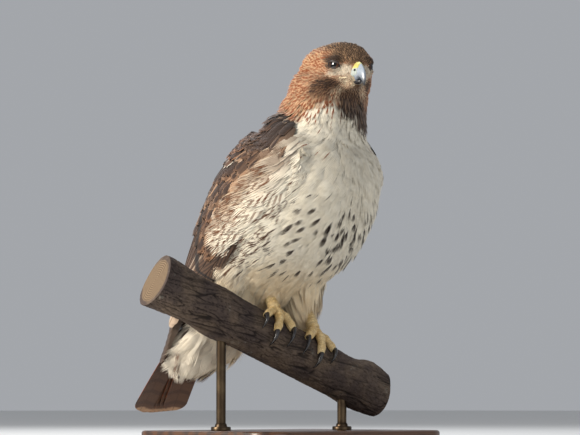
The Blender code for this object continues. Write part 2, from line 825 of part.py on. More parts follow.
def laid_vane(side, root, tip, half, lifts, tilt, profile):
    """A feather laid along the wing. Root and tip are given as place and as share of the way down it."""
    stations = []
    last = len(profile) - 1
    for k, width in enumerate(profile):
        t = k / last
        place = root[0] + (tip[0] - root[0]) * t
        share = root[1] + (tip[1] - root[1]) * t
        upper, lower, _ = wing_edges(place)
        angle = side * math.radians(upper + (lower - upper) * share)
        lift = lifts[0] + (lifts[1] - lifts[0]) * t
        centre = WING.point(place, angle, lift)
        normal = (WING.point(place, angle, lift + 0.001) - centre).normalized()
        along = WING.point(place + 0.05, angle, lift) - WING.point(place - 0.05, angle, lift)
        across = side * along.cross(normal).normalized()
        turn = Matrix.Rotation(side * tilt, 3, along.normalized())
        stations.append((centre, turn @ across, turn @ normal, half * width))
    return vane(stations, VANE_THICK)


def wing_vanes(side, rng):
    """Tiers of coverts from the shoulder back, then the secondaries, then the primaries."""
    made = []
    for count, root, tip, half in COVERT_TIERS:
        for n in range(count):
            share = (n + 0.5) / count
            stagger = COVERT_BOW * math.cos(math.pi * share) + rng.uniform(-COVERT_LOOSE, COVERT_LOOSE)
            made.append(
                laid_vane(side, (root + stagger, share), (tip + stagger, share), half,
                          COVERT_LIFTS, COVERT_TILT, COVERT_PROFILE)
            )
    for n in range(SECONDARIES):
        share = (n + 0.5) / SECONDARIES
        tip = SECONDARY_TIP + SECONDARY_LONGER * share**1.5 + rng.uniform(-SECONDARY_LOOSE, SECONDARY_LOOSE)
        made.append(
            laid_vane(side, (SECONDARY_ROOT, share), (tip, 0.15 + 0.70 * share), SECONDARY_HALF,
                      SECONDARY_LIFTS, SECONDARY_TILT, FLIGHT_PROFILE)
        )
    for n in range(PRIMARIES):
        tip = PRIMARY_TIP + PRIMARY_STEP * n
        lift = PRIMARY_DEEP - PRIMARY_PITCH * n
        made.append(
            laid_vane(side, (PRIMARY_ROOT, 0.60), (tip, 0.5), PRIMARY_HALF, (lift, lift), 0.0, FLIGHT_PROFILE)
        )
    return made


def make_wings(torso):
    """The folded wings, each laid against the torso, with their feathers in tiers."""
    for name, side in SIDES.items():
        wing = wing_sheet(side, "wing_" + name)
        join(wing, wing_vanes(side, np.random.default_rng(VANE_SEED)))
        cut_clear(wing, torso)


# Tail


def tail_frame():
    """The tail's root, its direction, its right angle aside, the way its upper side faces, and its length."""
    start = bird(TAIL_ROOT[0], 0.0, TAIL_ROOT[1])
    along = bird(TAIL_TIP[0], 0.0, TAIL_TIP[1]) - start
    length = along.length
    along.normalize()
    across = Vector((1.0, 0.0, 0.0))
    return start, along, across, across.cross(along), length


def tail_ring(middle, half, deep):
    """An oval section across the tail round a middle."""
    _, _, across, over, _ = tail_frame()
    turns = [2 * math.pi * n / TAIL_SIDES for n in range(TAIL_SIDES)]
    return [middle + across * half * math.sin(a) + over * deep * math.cos(a) for a in turns]


def tail_vane(pair, side):
    """One tail feather: pair 0 is the middle pair, on top."""
    start, along, across, over, length = tail_frame()
    turn = Matrix.Rotation(side * -TAIL_ROOF, 3, along)
    drop = TAIL_PITCH * pair
    reach = length * (1.0 - TAIL_SHORTER * pair)
    root_aside = TAIL_ASIDE_ROOT[0] + TAIL_ASIDE_ROOT[1] * pair
    tip_aside = TAIL_ASIDE_TIP + TAIL_STEP_ASIDE * pair
    stations = []
    for k, width in enumerate(TAIL_PROFILE):
        t = k / (len(TAIL_PROFILE) - 1)
        aside = root_aside * (1 - t) + tip_aside * t
        sag = TAIL_SAG * math.sin(math.pi * t)
        centre = start + along * (TAIL_VANE_ROOT + (reach - TAIL_VANE_ROOT) * t) + across * (side * aside)
        centre += over * (TAIL_LIFT + sag - drop * (0.75 + 0.25 * t))
        stations.append((centre, turn @ across, turn @ over, TAIL_FEATHER_HALF * width))
    return vane(stations, TAIL_THICK)


def make_tail(torso, wings):
    """The folded tail and the feathers under its root."""
    start, along, _, over, length = tail_frame()
    rings = []
    for k, (half, deep) in enumerate(TAIL_CORE_RINGS):
        t = k / (len(TAIL_CORE_RINGS) - 1)
        rings.append(tail_ring(start + along * length * TAIL_CORE * t - over * TAIL_CORE_DROP, half, deep))
    tail = loft("tail", rings, "tail_feathers")
    pairs = range(TAIL_FEATHERS // 2)
    join(tail, [tail_vane(pair, side) for pair in pairs for side in SIDES.values()])
    cut_clear(tail, torso)
    for wing in wings:
        cut_clear(tail, wing)
    rings = [
        tail_ring(start + along * reach - over * below, half, deep)
        for reach, below, half, deep in TAIL_COVERT_RINGS
    ]
    coverts = loft("tail_coverts", rings, "body_feathers")
    for neighbour in (torso, tail, *wings):
        cut_clear(coverts, neighbour)


# Legs and feet


def make_legs(torso, wings, perch):
    """Thighs, bare shanks with their toes, and claws."""
    for name, side in SIDES.items():
        stations = THIGH + THIGH_ENDS[name]
        centres = [bird(forward, side * left, up) for forward, left, up, _ in stations]
        radii = [radius for _, _, _, radius in stations]
        thigh = tube("thigh_" + name, centres, radii, THIGH_SIDES, "body_feathers",
                     upward=Vector((0.0, 1.0, 0.0)))
        cut_clear(thigh, torso)
        for wing in wings:
            cut_clear(thigh, wing)
        make_foot(name, side, torso, thigh, perch)


def make_foot(name, side, torso, thigh, perch):
    """One shank with its toes round the branch, and its claws."""
    across, _, _ = perch_axes()
    place = side * FOOT_ASIDE / across.x
    ankle = round_perch(place, 0.0, PERCH_RADIUS + ANKLE_LIFT)
    knee = bird(KNEE[0], side * KNEE[1], KNEE[2])
    centres = [knee.lerp(ankle, t) for t, _ in SHANK]
    foot = tube("foot_" + name, centres, [radius for _, radius in SHANK], SHANK_SIDES, "leg_scales",
                upward=Vector((0.0, 1.0, 0.0)))
    claws, pieces = [], []
    for toe, (turn, reach, thick, thin, hook) in TOES.items():
        line, radii = [], []
        for k in range(TOE_STATIONS):
            t = k / (TOE_STATIONS - 1)
            size = thick + (thin - thick) * t + TOE_KNUCKLE * math.cos(6 * math.pi * t)
            angle = math.radians(reach) * t
            line.append(round_perch(place + side * turn * t, angle, PERCH_RADIUS + size))
            radii.append(size)
        pieces.append(tube("toe", line, radii, TOE_SIDES, flatten=TOE_FLATTEN, upward=across))
        claw_line, claw_radii = [], []
        for k in range(CLAW_STATIONS):
            t = k / (CLAW_STATIONS - 1)
            angle = math.radians(reach + hook * t)
            lift = thin * (1 - t) + CLAW_ARCH * math.sin(math.pi * t) + CLAW_LIFT
            spread = side * turn * (1 + CLAW_SPREAD * t)
            claw_line.append(round_perch(place + spread, angle, PERCH_RADIUS + lift))
            claw_radii.append(CLAW_RADIUS * (1 - t) ** 0.8 + CLAW_POINT)
        claws.append((toe, claw_line, claw_radii))
    join(foot, pieces)
    cut(foot, grip_cutter(place))
    for neighbour in (thigh, torso):
        cut_clear(foot, neighbour)
    for toe, line, radii in claws:
        claw = tube(f"claw_{name}_{toe}", line, radii, CLAW_SIDES, "claw_horn", upward=across)
        cut(claw, grip_cutter(place))
        cut_clear(claw, foot)


def grip_cutter(place):
    """The plain round stretch of branch under a foot, larger by the gap."""
    rings = []
    for end in (place - GRIP_REACH, place + GRIP_REACH):
        turns = [2 * math.pi * n / PERCH_SIDES for n in range(PERCH_SIDES)]
        rings.append([round_perch(end, a, PERCH_RADIUS + CLEAR) for a in turns])
    return loft("grip", rings)


def main():
    """Builds the whole object."""
    clear_scene()
    perch = make_perch()
    make_stand(perch)
    torso = make_torso()
    neck = part_neck(torso)
    head = make_head()
    cut_clear(neck, head)
    make_eyes(head)
    cut_mouth(head)
    make_bill(head)
    make_wings(torso)
    wings = [bpy.data.objects["wing_" + name] for name in SIDES]
    make_tail(torso, wings)
    make_legs(torso, wings, perch)


main()
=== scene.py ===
"""Dresses the perched red-tailed hawk: skin, plumage, eyes, bill, feet, branch and stand.

Metres, +Z up. The bird faces -Y and its left is +X. Places on the bird are forward, left and up from the
perch point, the top of the branch between the feet. Places on the head are ahead, left and up from the
middle of the skull. Places on a curved form are counted in its stations, with an angle round it whose
zero is the back's midline, positive to the bird's left.
"""

import json
import logging
import math
from dataclasses import dataclass, field
from enum import Enum
from typing import Callable, Sequence

import bmesh
import bpy
import numpy as np
from mathutils import Matrix, Vector, noise
from mathutils.bvhtree import BVHTree

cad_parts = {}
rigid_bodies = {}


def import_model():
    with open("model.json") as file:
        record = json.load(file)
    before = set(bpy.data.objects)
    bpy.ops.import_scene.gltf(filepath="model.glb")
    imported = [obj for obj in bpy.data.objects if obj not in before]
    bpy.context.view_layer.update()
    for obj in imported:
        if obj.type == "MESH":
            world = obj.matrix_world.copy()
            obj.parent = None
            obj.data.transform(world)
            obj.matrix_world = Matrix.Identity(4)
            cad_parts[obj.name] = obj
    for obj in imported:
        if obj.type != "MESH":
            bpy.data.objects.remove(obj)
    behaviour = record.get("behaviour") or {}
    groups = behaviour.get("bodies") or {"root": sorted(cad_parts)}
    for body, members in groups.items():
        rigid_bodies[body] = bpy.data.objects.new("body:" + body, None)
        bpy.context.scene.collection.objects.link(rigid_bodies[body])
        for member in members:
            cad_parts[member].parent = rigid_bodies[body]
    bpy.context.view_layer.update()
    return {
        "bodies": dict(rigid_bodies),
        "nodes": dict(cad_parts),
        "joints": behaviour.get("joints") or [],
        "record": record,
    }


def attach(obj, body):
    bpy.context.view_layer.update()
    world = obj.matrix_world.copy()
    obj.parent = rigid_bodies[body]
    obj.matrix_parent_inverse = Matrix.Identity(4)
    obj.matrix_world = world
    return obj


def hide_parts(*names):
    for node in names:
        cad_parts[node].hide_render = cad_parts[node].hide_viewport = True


logging.basicConfig(level=logging.INFO, format="%(message)s")
LOG = logging.getLogger("hawk")
BODY = "root"
SEED = 20
MM = 0.001

PERCH_TOP = 0.126
HEAD_CENTRE = (0.079, 0.0, 0.265)
HEAD_TURN = math.radians(25.0)
TAIL_ROOT = (-0.086, 0.078)
TAIL_TIP = (-0.229, -0.093)

# Torso and neck, tail end first: forward, up, half width, depth to the belly, depth to the back
TORSO_STATIONS = (
    (-0.122, -0.010, 0.016, 0.010, 0.012),
    (-0.100, 0.014, 0.042, 0.034, 0.036),
    (-0.071, 0.048, 0.061, 0.054, 0.056),
    (-0.037, 0.087, 0.075, 0.071, 0.069),
    (0.002, 0.127, 0.082, 0.086, 0.080),
    (0.036, 0.166, 0.073, 0.077, 0.077),
    (0.050, 0.202, 0.050, 0.044, 0.059),
    (0.060, 0.230, 0.0415, 0.037, 0.050),
    (0.068, 0.252, 0.036, 0.028, 0.044),
    (0.072, 0.268, 0.020, 0.014, 0.024),
)
# The folded wing, wrist first: forward, up, half width, the same depth twice
WING_STATIONS = (
    (0.055, 0.209, 0.050, 0.053, 0.053),
    (0.048, 0.196, 0.061, 0.065, 0.065),
    (0.036, 0.166, 0.079, 0.080, 0.080),
    (0.002, 0.127, 0.089, 0.085, 0.085),
    (-0.037, 0.087, 0.084, 0.078, 0.078),
    (-0.071, 0.048, 0.076, 0.067, 0.067),
    (-0.100, 0.014, 0.067, 0.053, 0.053),
    (-0.122, -0.008, 0.060, 0.043, 0.043),
    (-0.142, -0.026, 0.054, 0.035, 0.035),
    (-0.160, -0.042, 0.050, 0.030, 0.030),
)
# For the same stations: upper edge and lower edge of the wing in degrees from the back's midline
WING_EDGES = (
    (68.0, 100.0),
    (44.0, 116.0),
    (27.0, 124.0),
    (17.0, 118.0),
    (12.0, 108.0),
    (11.0, 98.0),
    (14.0, 90.0),
    (24.0, 84.0),
    (38.0, 78.0),
    (54.0, 70.0),
)

# Place on the torso, and the angle in front of which the flank's feathers lie over the folded wing
WING_LIMIT = (
    (3.42, 106.0),
    (3.54, 87.0),
    (3.66, 88.0),
    (3.90, 90.0),
    (4.20, 93.0),
    (4.6, 96.0), (5.6, 99.0), (6.1, 104.0),
)

Array = np.ndarray


class Side(Enum):
    """The bird's two sides, with the sign of X on each."""

    LEFT = 1.0
    RIGHT = -1.0


def paint(red: float, green: float, blue: float) -> tuple[float, float, float]:
    """Turns a colour as a screen shows it, 0 to 255, into linear light."""
    return tuple((c / 255.0) ** 2.2 for c in (red, green, blue))


def smooth(value: Array | float, low: float, high: float) -> Array | float:
    """Rises smoothly from 0 at low to 1 at high; low may be the larger of the two."""
    t = np.clip((value - low) / (high - low), 0.0, 1.0)
    return t * t * (3.0 - 2.0 * t)


def unit(rows: Array) -> Array:
    """Scales each row vector to length 1."""
    return rows / np.maximum(np.linalg.norm(rows, axis=-1, keepdims=True), 1e-9)


def mix(first: Array, second: Array | Sequence[float], share: Array) -> Array:
    """Blends rows of colours by a share for each row."""
    return first * (1.0 - share[:, None]) + np.asarray(second, float) * share[:, None]


def bird(forward: float, left: float, up: float) -> Vector:
    """A place given from the perch point."""
    return Vector((left, -forward, PERCH_TOP + up))


def head_frame() -> Matrix:
    """The head's frame: columns ahead, left and up, with the middle of the skull as origin."""
    ahead = Vector((-math.sin(HEAD_TURN), -math.cos(HEAD_TURN), 0.0))
    up = Vector((0.0, 0.0, 1.0))
    frame = Matrix((ahead, up.cross(ahead), up)).transposed().to_4x4()
    frame.translation = bird(*HEAD_CENTRE)
    return frame


def on_head(ahead: float, left: float, up: float) -> Vector:
    """A place given from the middle of the skull."""
    return head_frame() @ Vector((ahead, left, up))


def head_places(points: Array) -> Array:
    """Ahead, left and up of points, from the middle of the skull."""
    inverse = np.array(head_frame().inverted())
    return points @ inverse[:3, :3].T + inverse[:3, 3]


def station_values(rows: Sequence[Sequence[float]], places: Array) -> Array:
    """Smooth values at places counted in rows, by a Catmull-Rom curve."""
    table = np.asarray(rows, float)
    last = len(table) - 1
    places = np.clip(np.asarray(places, float), 0.0, last)
    start = np.minimum(places.astype(int), last - 1)
    t = (places - start)[..., None]
    a, b, c, d = (table[np.clip(start + k, 0, last)] for k in (-1, 0, 1, 2))
    return 0.5 * (2 * b + (c - a) * t + (2 * a - 5 * b + 4 * c - d) * t**2 + (3 * b - a - 3 * c + d) * t**3)


@dataclass(frozen=True)
class Form:
    """A smooth form round a curved middle line in the bird's middle plane."""

    stations: tuple
    headwards: float = 1.0

    def frame(self, places: Array) -> tuple[Array, Array, Array, Array]:
        """Station values, centres, directions along the line and directions of the back."""
        here = station_values(self.stations, places)
        step = 0.05
        run = station_values(self.stations, places + step) - station_values(self.stations, places - step)
        run = unit(run[..., :2]) * self.headwards
        zero = np.zeros(here.shape[:-1])
        centre = np.stack([zero, -here[..., 0], PERCH_TOP + here[..., 1]], -1)
        along = np.stack([zero, -run[..., 0], run[..., 1]], -1)
        back = np.stack([zero, run[..., 1], run[..., 0]], -1)
        return here, centre, along, back

    def points(self, places: Array, degrees: Array, lifts: Array | float = 0.0) -> Array:
        """Points on the form's surface, moved out by lifts."""
        places, degrees = np.broadcast_arrays(np.asarray(places, float), np.asarray(degrees, float))
        here, centre, _, back = self.frame(places)
        turn = np.radians(degrees)
        cosine, sine = np.cos(turn), np.sin(turn)
        depth = np.where(cosine > 0, here[..., 4], here[..., 3]) + lifts
        across = np.array([1.0, 0.0, 0.0])
        return centre + back * (depth * cosine)[..., None] + across * ((here[..., 2] + lifts) * sine)[..., None]

    def locate(self, points: Array) -> tuple[Array, Array]:
        """The place and the angle in degrees of points near the form."""
        places = np.linspace(0.0, len(self.stations) - 1.0, 181)
        _, centre, _, back = self.frame(places)
        flat = points[:, None, 1:] - centre[None, :, 1:]
        near = np.argmin((flat**2).sum(-1), axis=1)
        depth = ((points - centre[near]) * back[near]).sum(-1)
        return places[near], np.degrees(np.arctan2(points[:, 0], depth))


TORSO = Form(TORSO_STATIONS)
WING = Form(WING_STATIONS, headwards=-1.0)


def tail_frame() -> tuple[Array, Array, Array, Array, float]:
    """The tail's root, direction, sideways direction, upper side's direction and length."""
    root = np.array(bird(TAIL_ROOT[0], 0.0, TAIL_ROOT[1]))
    along = np.array(bird(TAIL_TIP[0], 0.0, TAIL_TIP[1])) - root
    length = float(np.linalg.norm(along))
    along = along / length
    across = np.array([1.0, 0.0, 0.0])
    return root, along, across, np.cross(across, along), length


class Wiring:
    """Adds shader nodes to one material, links them, and hands back their sockets."""

    def __init__(self, name: str) -> None:
        """Starts a material with a Principled shader."""
        self.material = bpy.data.materials.new(name)
        self.material.use_nodes = True
        self.tree = self.material.node_tree
        self.shader = self.tree.nodes["Principled BSDF"]

    def join(self, source: object, socket: bpy.types.NodeSocket) -> None:
        """Links a socket to an input, or writes a number or a colour into it."""
        if isinstance(source, bpy.types.NodeSocket):
            self.tree.links.new(source, socket)
        else:
            socket.default_value = source

    def node(self, kind: str, inputs: dict[int | str, object] | None = None, **settings: object) -> bpy.types.Node:
        """Adds a node with its settings and inputs."""
        made = self.tree.nodes.new(kind)
        for name, value in settings.items():
            setattr(made, name, value)
        for name, source in (inputs or {}).items():
            self.join(source, made.inputs[name])
        return made

    def math(self, operation: str, first: object, second: object = 0.0, third: object = 0.0) -> bpy.types.NodeSocket:
        """A Math node's result."""
        return self.node("ShaderNodeMath", {0: first, 1: second, 2: third}, operation=operation).outputs[0]

    def step(self, value: object, low: float, high: float) -> bpy.types.NodeSocket:
        """A smooth step from 0 at low to 1 at high."""
        inputs = {0: value, 1: low, 2: high, 3: 0.0, 4: 1.0}
        return self.node("ShaderNodeMapRange", inputs, interpolation_type="SMOOTHSTEP").outputs[0]

    def blend(self, share: object, first: object, second: object, way: str = "MIX") -> bpy.types.NodeSocket:
        """A mix of two colours."""
        inputs = {0: share, 6: first, 7: second}
        return self.node("ShaderNodeMix", inputs, data_type="RGBA", blend_type=way).outputs[2]

    def attribute(self, name: str) -> bpy.types.Node:
        """Reads one of the piece's own attributes."""
        return self.node("ShaderNodeAttribute", attribute_name=name)

    def place(self, scale: Sequence[float] = (1.0, 1.0, 1.0), turn: Sequence[float] = (0.0, 0.0, 0.0)) -> bpy.types.NodeSocket:
        """Object coordinates through a Mapping node."""
        source = self.node("ShaderNodeTexCoord").outputs["Object"]
        return self.node("ShaderNodeMapping", {"Vector": source, "Scale": scale, "Rotation": turn}).outputs[0]

    def noise(self, vector: object, scale: float, detail: float = 4.0, rough: float = 0.5) -> bpy.types.NodeSocket:
        """A noise texture's value."""
        inputs = {"Vector": vector, "Scale": scale, "Detail": detail, "Roughness": rough}
        return self.node("ShaderNodeTexNoise", inputs).outputs[0]

    def bump(self, height: object, strength: float, distance: float) -> None:
        """Feeds a height into the shader's normal."""
        inputs = {"Strength": strength, "Distance": distance, "Height": height}
        self.join(self.node("ShaderNodeBump", inputs).outputs[0], self.shader.inputs["Normal"])

    def finish(self, colour: object, roughness: object, **constants: float) -> bpy.types.Material:
        """Sets the shader's colour, roughness and constant sockets.

        Args:
            colour: a socket or a colour for the base.
            roughness: a socket or a number.
            constants: the shader's other sockets by name, with underscores for spaces.

        Returns:
            The finished material.
        """
        if isinstance(colour, tuple) and len(colour) == 3:
            colour = (*colour, 1.0)
        self.join(colour, self.shader.inputs["Base Color"])
        self.join(roughness, self.shader.inputs["Roughness"])
        for name, value in constants.items():
            self.shader.inputs[name.replace("_", " ")].default_value = value
        return self.material


@dataclass(frozen=True)
class PlumageFinish:
    """Feathers whose colours and markings come from their own attributes and their own UV map; each is darker toward
    its root, partly grey down and partly painted shade, and where folded is set a painted shadow line runs along the
    gap between wing and back.
    """

    name: str
    roughness: float = 0.78
    sheen: float = 0.10
    barbs: float = 34.0
    barb_depth: float = 0.10
    bars: float = 0.0
    shaft: float = 0.0
    wash: float = 0.10
    # depth: how much darker a feather grows toward its root, partly grey down and partly painted shade under the
    # feathers that overlap it.
    depth: float = 0.35
    # folded: paints a near-black shadow line where the wing meets the back.
    folded: bool = False

    def material(self) -> bpy.types.Material:
        """Makes the material.

        Returns:
            A material that reads the attributes coat, mark, rim and traits, and the UV map vane.
        """
        wire = Wiring(self.name)
        coat, mark, rim, traits = (wire.attribute(name) for name in ("coat", "mark", "rim", "traits"))
        split = wire.node("ShaderNodeSeparateXYZ", {0: traits.outputs["Vector"]})
        streak, edge, bar = split.outputs
        vane = wire.node("ShaderNodeSeparateXYZ", {0: wire.node("ShaderNodeUVMap", uv_map="vane").outputs[0]})
        aside = wire.math("ABSOLUTE", wire.math("MULTIPLY_ADD", vane.outputs[0], 2.0, -1.0))
        along = vane.outputs[1]
        grain = wire.noise(wire.place(), 420.0, 3.0)
        wobble = wire.math("MULTIPLY_ADD", grain, 0.24, -0.12)
        swell = wire.math("MULTIPLY", wire.step(along, 0.30, 0.72), wire.step(along, 0.995, 0.80))
        reach = wire.math("ADD", wire.math("MULTIPLY", streak, swell), wobble)
        streak_mask = wire.math("MULTIPLY", wire.step(wire.math("SUBTRACT", reach, aside), -0.10, 0.10),
                                wire.step(streak, 0.0, 0.08))
        colour = wire.blend(streak_mask, coat.outputs["Color"], mark.outputs["Color"])
        if self.bars:
            bend = wire.math("MULTIPLY_ADD", aside, -0.35, along)
            wave = wire.math("SINE", wire.math("MULTIPLY", wire.math("ADD", bend, wire.math("MULTIPLY", wobble, 0.12)),
                                               self.bars * 2.0 * math.pi))
            bar_mask = wire.math("MULTIPLY", wire.step(wave, -0.05, 0.35), bar)
            colour = wire.blend(bar_mask, colour, mark.outputs["Color"])
        tip = wire.math("MULTIPLY", wire.step(along, 0.80, 0.97), wire.step(edge, 0.0, 0.5))
        near_edge = wire.math("MAXIMUM", wire.step(wire.math("ADD", aside, wobble), 0.62, 0.98), tip)
        colour = wire.blend(wire.math("MULTIPLY", near_edge, edge), colour, rim.outputs["Color"])
        if self.shaft:
            colour = wire.blend(wire.math("MULTIPLY", wire.step(aside, 0.07, 0.02), self.shaft), colour,
                                (*paint(54, 38, 28), 1.0))
        hairs = wire.math("SINE", wire.math("MULTIPLY", wire.math("MULTIPLY_ADD", aside, -0.55, along),
                                            self.barbs * 2.0 * math.pi))
        shade = wire.math("MULTIPLY_ADD", hairs, self.barb_depth * 0.5, 1.0)
        patchy = wire.math("MULTIPLY_ADD", wire.noise(wire.place(), 95.0, 4.0), 2.0 * self.wash, 1.0 - self.wash)
        # Darker toward the root: partly grey down, partly painted shade where the feathers overlap.
        root_down_and_shade = wire.math("MULTIPLY_ADD", wire.step(along, 0.15, 0.75), self.depth, 1.0 - self.depth)
        dark = wire.math("MULTIPLY", wire.math("MULTIPLY", shade, patchy), root_down_and_shade)
        grey = wire.node("ShaderNodeCombineXYZ", {0: dark, 1: dark, 2: dark}).outputs[0]
        colour = wire.blend(1.0, colour, grey, "MULTIPLY")
        # Painted shadow: a near-black line along the gap between wing and back.
        if self.folded:
            away = wire.math("MULTIPLY_ADD", grain, 0.7, wire.math("ABSOLUTE", wire.attribute("fold_shadow").outputs["Fac"]))
            colour = wire.blend(wire.math("MULTIPLY", wire.step(away, 1.75, 0.75), 0.92), colour,
                                (*paint(28, 22, 20), 1.0))
        wire.bump(hairs, 0.25, 0.00012)
        return wire.finish(colour, self.roughness, Sheen_Weight=self.sheen, Sheen_Roughness=0.6,
                           Specular_IOR_Level=0.22)


@dataclass(frozen=True)
class SkinFinish:
    """Down and skin under the feathers, with the same markings as the coat."""

    name: str = "down_and_skin"

    def material(self) -> bpy.types.Material:
        """Makes the material from the attribute coat."""
        wire = Wiring(self.name)
        coat = wire.attribute("coat").outputs["Color"]
        fibres = wire.noise(wire.place((1.0, 1.0, 0.35)), 900.0, 3.0, 0.6)
        value = wire.math("MULTIPLY_ADD", fibres, 0.5, 0.62)
        grey = wire.node("ShaderNodeCombineXYZ", {0: value, 1: value, 2: value}).outputs[0]
        wire.bump(fibres, 0.5, 0.0006)
        return wire.finish(wire.blend(1.0, coat, grey, "MULTIPLY"), 0.9, Specular_IOR_Level=0.15)


@dataclass(frozen=True)
class HornFinish:
    """Polished horn of bill or claw, shaded along the attribute reach from base to tip."""

    name: str
    base: tuple
    tip: tuple
    roughness: float = 0.32
    coat: float = 0.3

    def material(self) -> bpy.types.Material:
        """Makes the material."""
        wire = Wiring(self.name)
        reach = wire.attribute("reach").outputs["Fac"]
        layers = wire.noise(wire.place((1.0, 1.0, 3.0)), 260.0, 4.0, 0.6)
        where = wire.math("MULTIPLY_ADD", layers, 0.30, wire.math("SUBTRACT", reach, 0.15))
        colour = wire.blend(wire.step(where, 0.30, 0.88), (*self.base, 1.0), (*self.tip, 1.0))
        mottled = wire.math("MULTIPLY_ADD", layers, 0.35, 0.82)
        grey = wire.node("ShaderNodeCombineXYZ", {0: mottled, 1: mottled, 2: mottled}).outputs[0]
        wire.bump(layers, 0.15, 0.0002)
        rough = wire.math("MULTIPLY_ADD", layers, 0.18, self.roughness - 0.09)
        return wire.finish(wire.blend(1.0, colour, grey, "MULTIPLY"), rough, Coat_Weight=self.coat,
                           Coat_Roughness=0.25)


@dataclass(frozen=True)
class WaxySkinFinish:
    """Bare waxy skin such as the cere, the gape and the lids; low is its colour where the attribute low is 1."""

    name: str
    colour: tuple
    deep: tuple
    roughness: float = 0.45
    low: tuple | None = None

    def material(self) -> bpy.types.Material:
        """Makes the material."""
        wire = Wiring(self.name)
        pores = wire.noise(wire.place(), 520.0, 4.0, 0.6)
        broad = wire.noise(wire.place(), 130.0, 2.0)
        colour = wire.blend(wire.step(broad, 0.40, 0.75), (*self.colour, 1.0), (*self.deep, 1.0))
        if self.low:
            share = wire.math("MULTIPLY_ADD", broad, 0.5, wire.math("SUBTRACT", wire.attribute("low").outputs["Fac"], 0.25))
            colour = wire.blend(wire.step(share, 0.2, 0.8), colour, (*self.low, 1.0))
        value = wire.math("MULTIPLY_ADD", pores, 0.4, 0.80)
        grey = wire.node("ShaderNodeCombineXYZ", {0: value, 1: value, 2: value}).outputs[0]
        wire.bump(pores, 0.35, 0.0003)
        return wire.finish(wire.blend(1.0, colour, grey, "MULTIPLY"), self.roughness,
                           Subsurface_Weight=0.08, Subsurface_Scale=0.002)


@dataclass(frozen=True)
class ScaleFinish:
    """Scaly skin of shank and toes."""

    name: str = "scaly_skin"

    def material(self) -> bpy.types.Material:
        """Makes the material: plates of yellow skin with darker seams."""
        wire = Wiring(self.name)
        cells = wire.node("ShaderNodeTexVoronoi", {"Vector": wire.place(), "Scale": 620.0},
                          feature="DISTANCE_TO_EDGE").outputs["Distance"]
        seam = wire.step(cells, 0.02, 0.16)
        tint = wire.noise(wire.place(), 150.0, 3.0)
        plate = wire.blend(wire.step(tint, 0.35, 0.70), (*paint(238, 212, 158), 1.0), (*paint(222, 188, 126), 1.0))
        groove = wire.attribute("groove").outputs["Fac"]
        dirt = wire.math("MAXIMUM", wire.math("SUBTRACT", 1.0, seam), groove)
        colour = wire.blend(wire.math("MULTIPLY", dirt, 0.45), plate, (*paint(128, 92, 56), 1.0))
        wire.bump(seam, 0.5, 0.0003)
        return wire.finish(colour, 0.5, Specular_IOR_Level=0.35)


@dataclass(frozen=True)
class EyeFinish:
    """A dark brown iris round a black pupil under a wet cornea, drawn by the attribute polar."""

    name: str = "wet_eye"
    pupil: float = 0.36
    iris: float = 0.66

    def material(self) -> bpy.types.Material:
        """Makes the material; polar is the angle from the line of sight in radians."""
        wire = Wiring(self.name)
        polar = wire.attribute("polar").outputs["Fac"]
        spokes = wire.noise(wire.place(), 900.0, 3.0, 0.7)
        iris = wire.blend(wire.step(spokes, 0.35, 0.70), (*paint(44, 26, 15), 1.0), (*paint(88, 54, 28), 1.0))
        rim = wire.step(polar, self.iris - 0.14, self.iris - 0.02)
        colour = wire.blend(rim, iris, (*paint(20, 12, 8), 1.0))
        inner = wire.step(polar, self.pupil + 0.03, self.pupil - 0.01)
        colour = wire.blend(inner, colour, (0.002, 0.002, 0.002, 1.0))
        return wire.finish(colour, 0.5, Coat_Weight=1.0, Coat_Roughness=0.03, Specular_IOR_Level=0.0)


@dataclass(frozen=True)
class BarkFinish:
    """Weathered grey-brown bark whose cracks are darkened toward their depths, partly the furrows' own darker bark and
    partly painted shade, and sawn wood where the attribute sawn says so.
    """

    name: str = "weathered_bark"

    def material(self) -> bpy.types.Material:
        """Makes the material."""
        wire = Wiring(self.name)
        depth = wire.attribute("crack").outputs["Fac"]
        fine = wire.noise(wire.place(), 260.0, 8.0, 0.65)
        broad = wire.noise(wire.place(), 38.0, 4.0)
        ground = wire.blend(wire.step(broad, 0.38, 0.66), (*paint(78, 68, 64), 1.0), (*paint(104, 90, 78), 1.0))
        lichen = wire.math("MULTIPLY", wire.step(wire.noise(wire.place(), 70.0, 6.0, 0.7), 0.60, 0.72), 0.45)
        ground = wire.blend(lichen, ground, (*paint(142, 140, 130), 1.0))
        # Darker toward the cracks' depths: partly darker furrow bark, partly painted shade.
        ground = wire.blend(wire.math("MULTIPLY", depth, 0.85), ground, (*paint(26, 22, 22), 1.0))
        value = wire.math("MULTIPLY_ADD", fine, 0.9, 0.50)
        grey = wire.node("ShaderNodeCombineXYZ", {0: value, 1: value, 2: value}).outputs[0]
        bark = wire.blend(1.0, ground, grey, "MULTIPLY")
        rings = wire.attribute("ring").outputs["Fac"]
        wave = wire.math("SINE", wire.math("MULTIPLY_ADD", broad, 6.0, wire.math("MULTIPLY", rings, 70.0)))
        wood = wire.blend(wire.step(wave, -0.4, 0.9), (*paint(126, 108, 88), 1.0), (*paint(88, 73, 58), 1.0))
        sawn = wire.attribute("sawn").outputs["Fac"]
        wire.bump(fine, 0.6, 0.0009)
        return wire.finish(wire.blend(sawn, bark, wood), 0.88, Specular_IOR_Level=0.2)


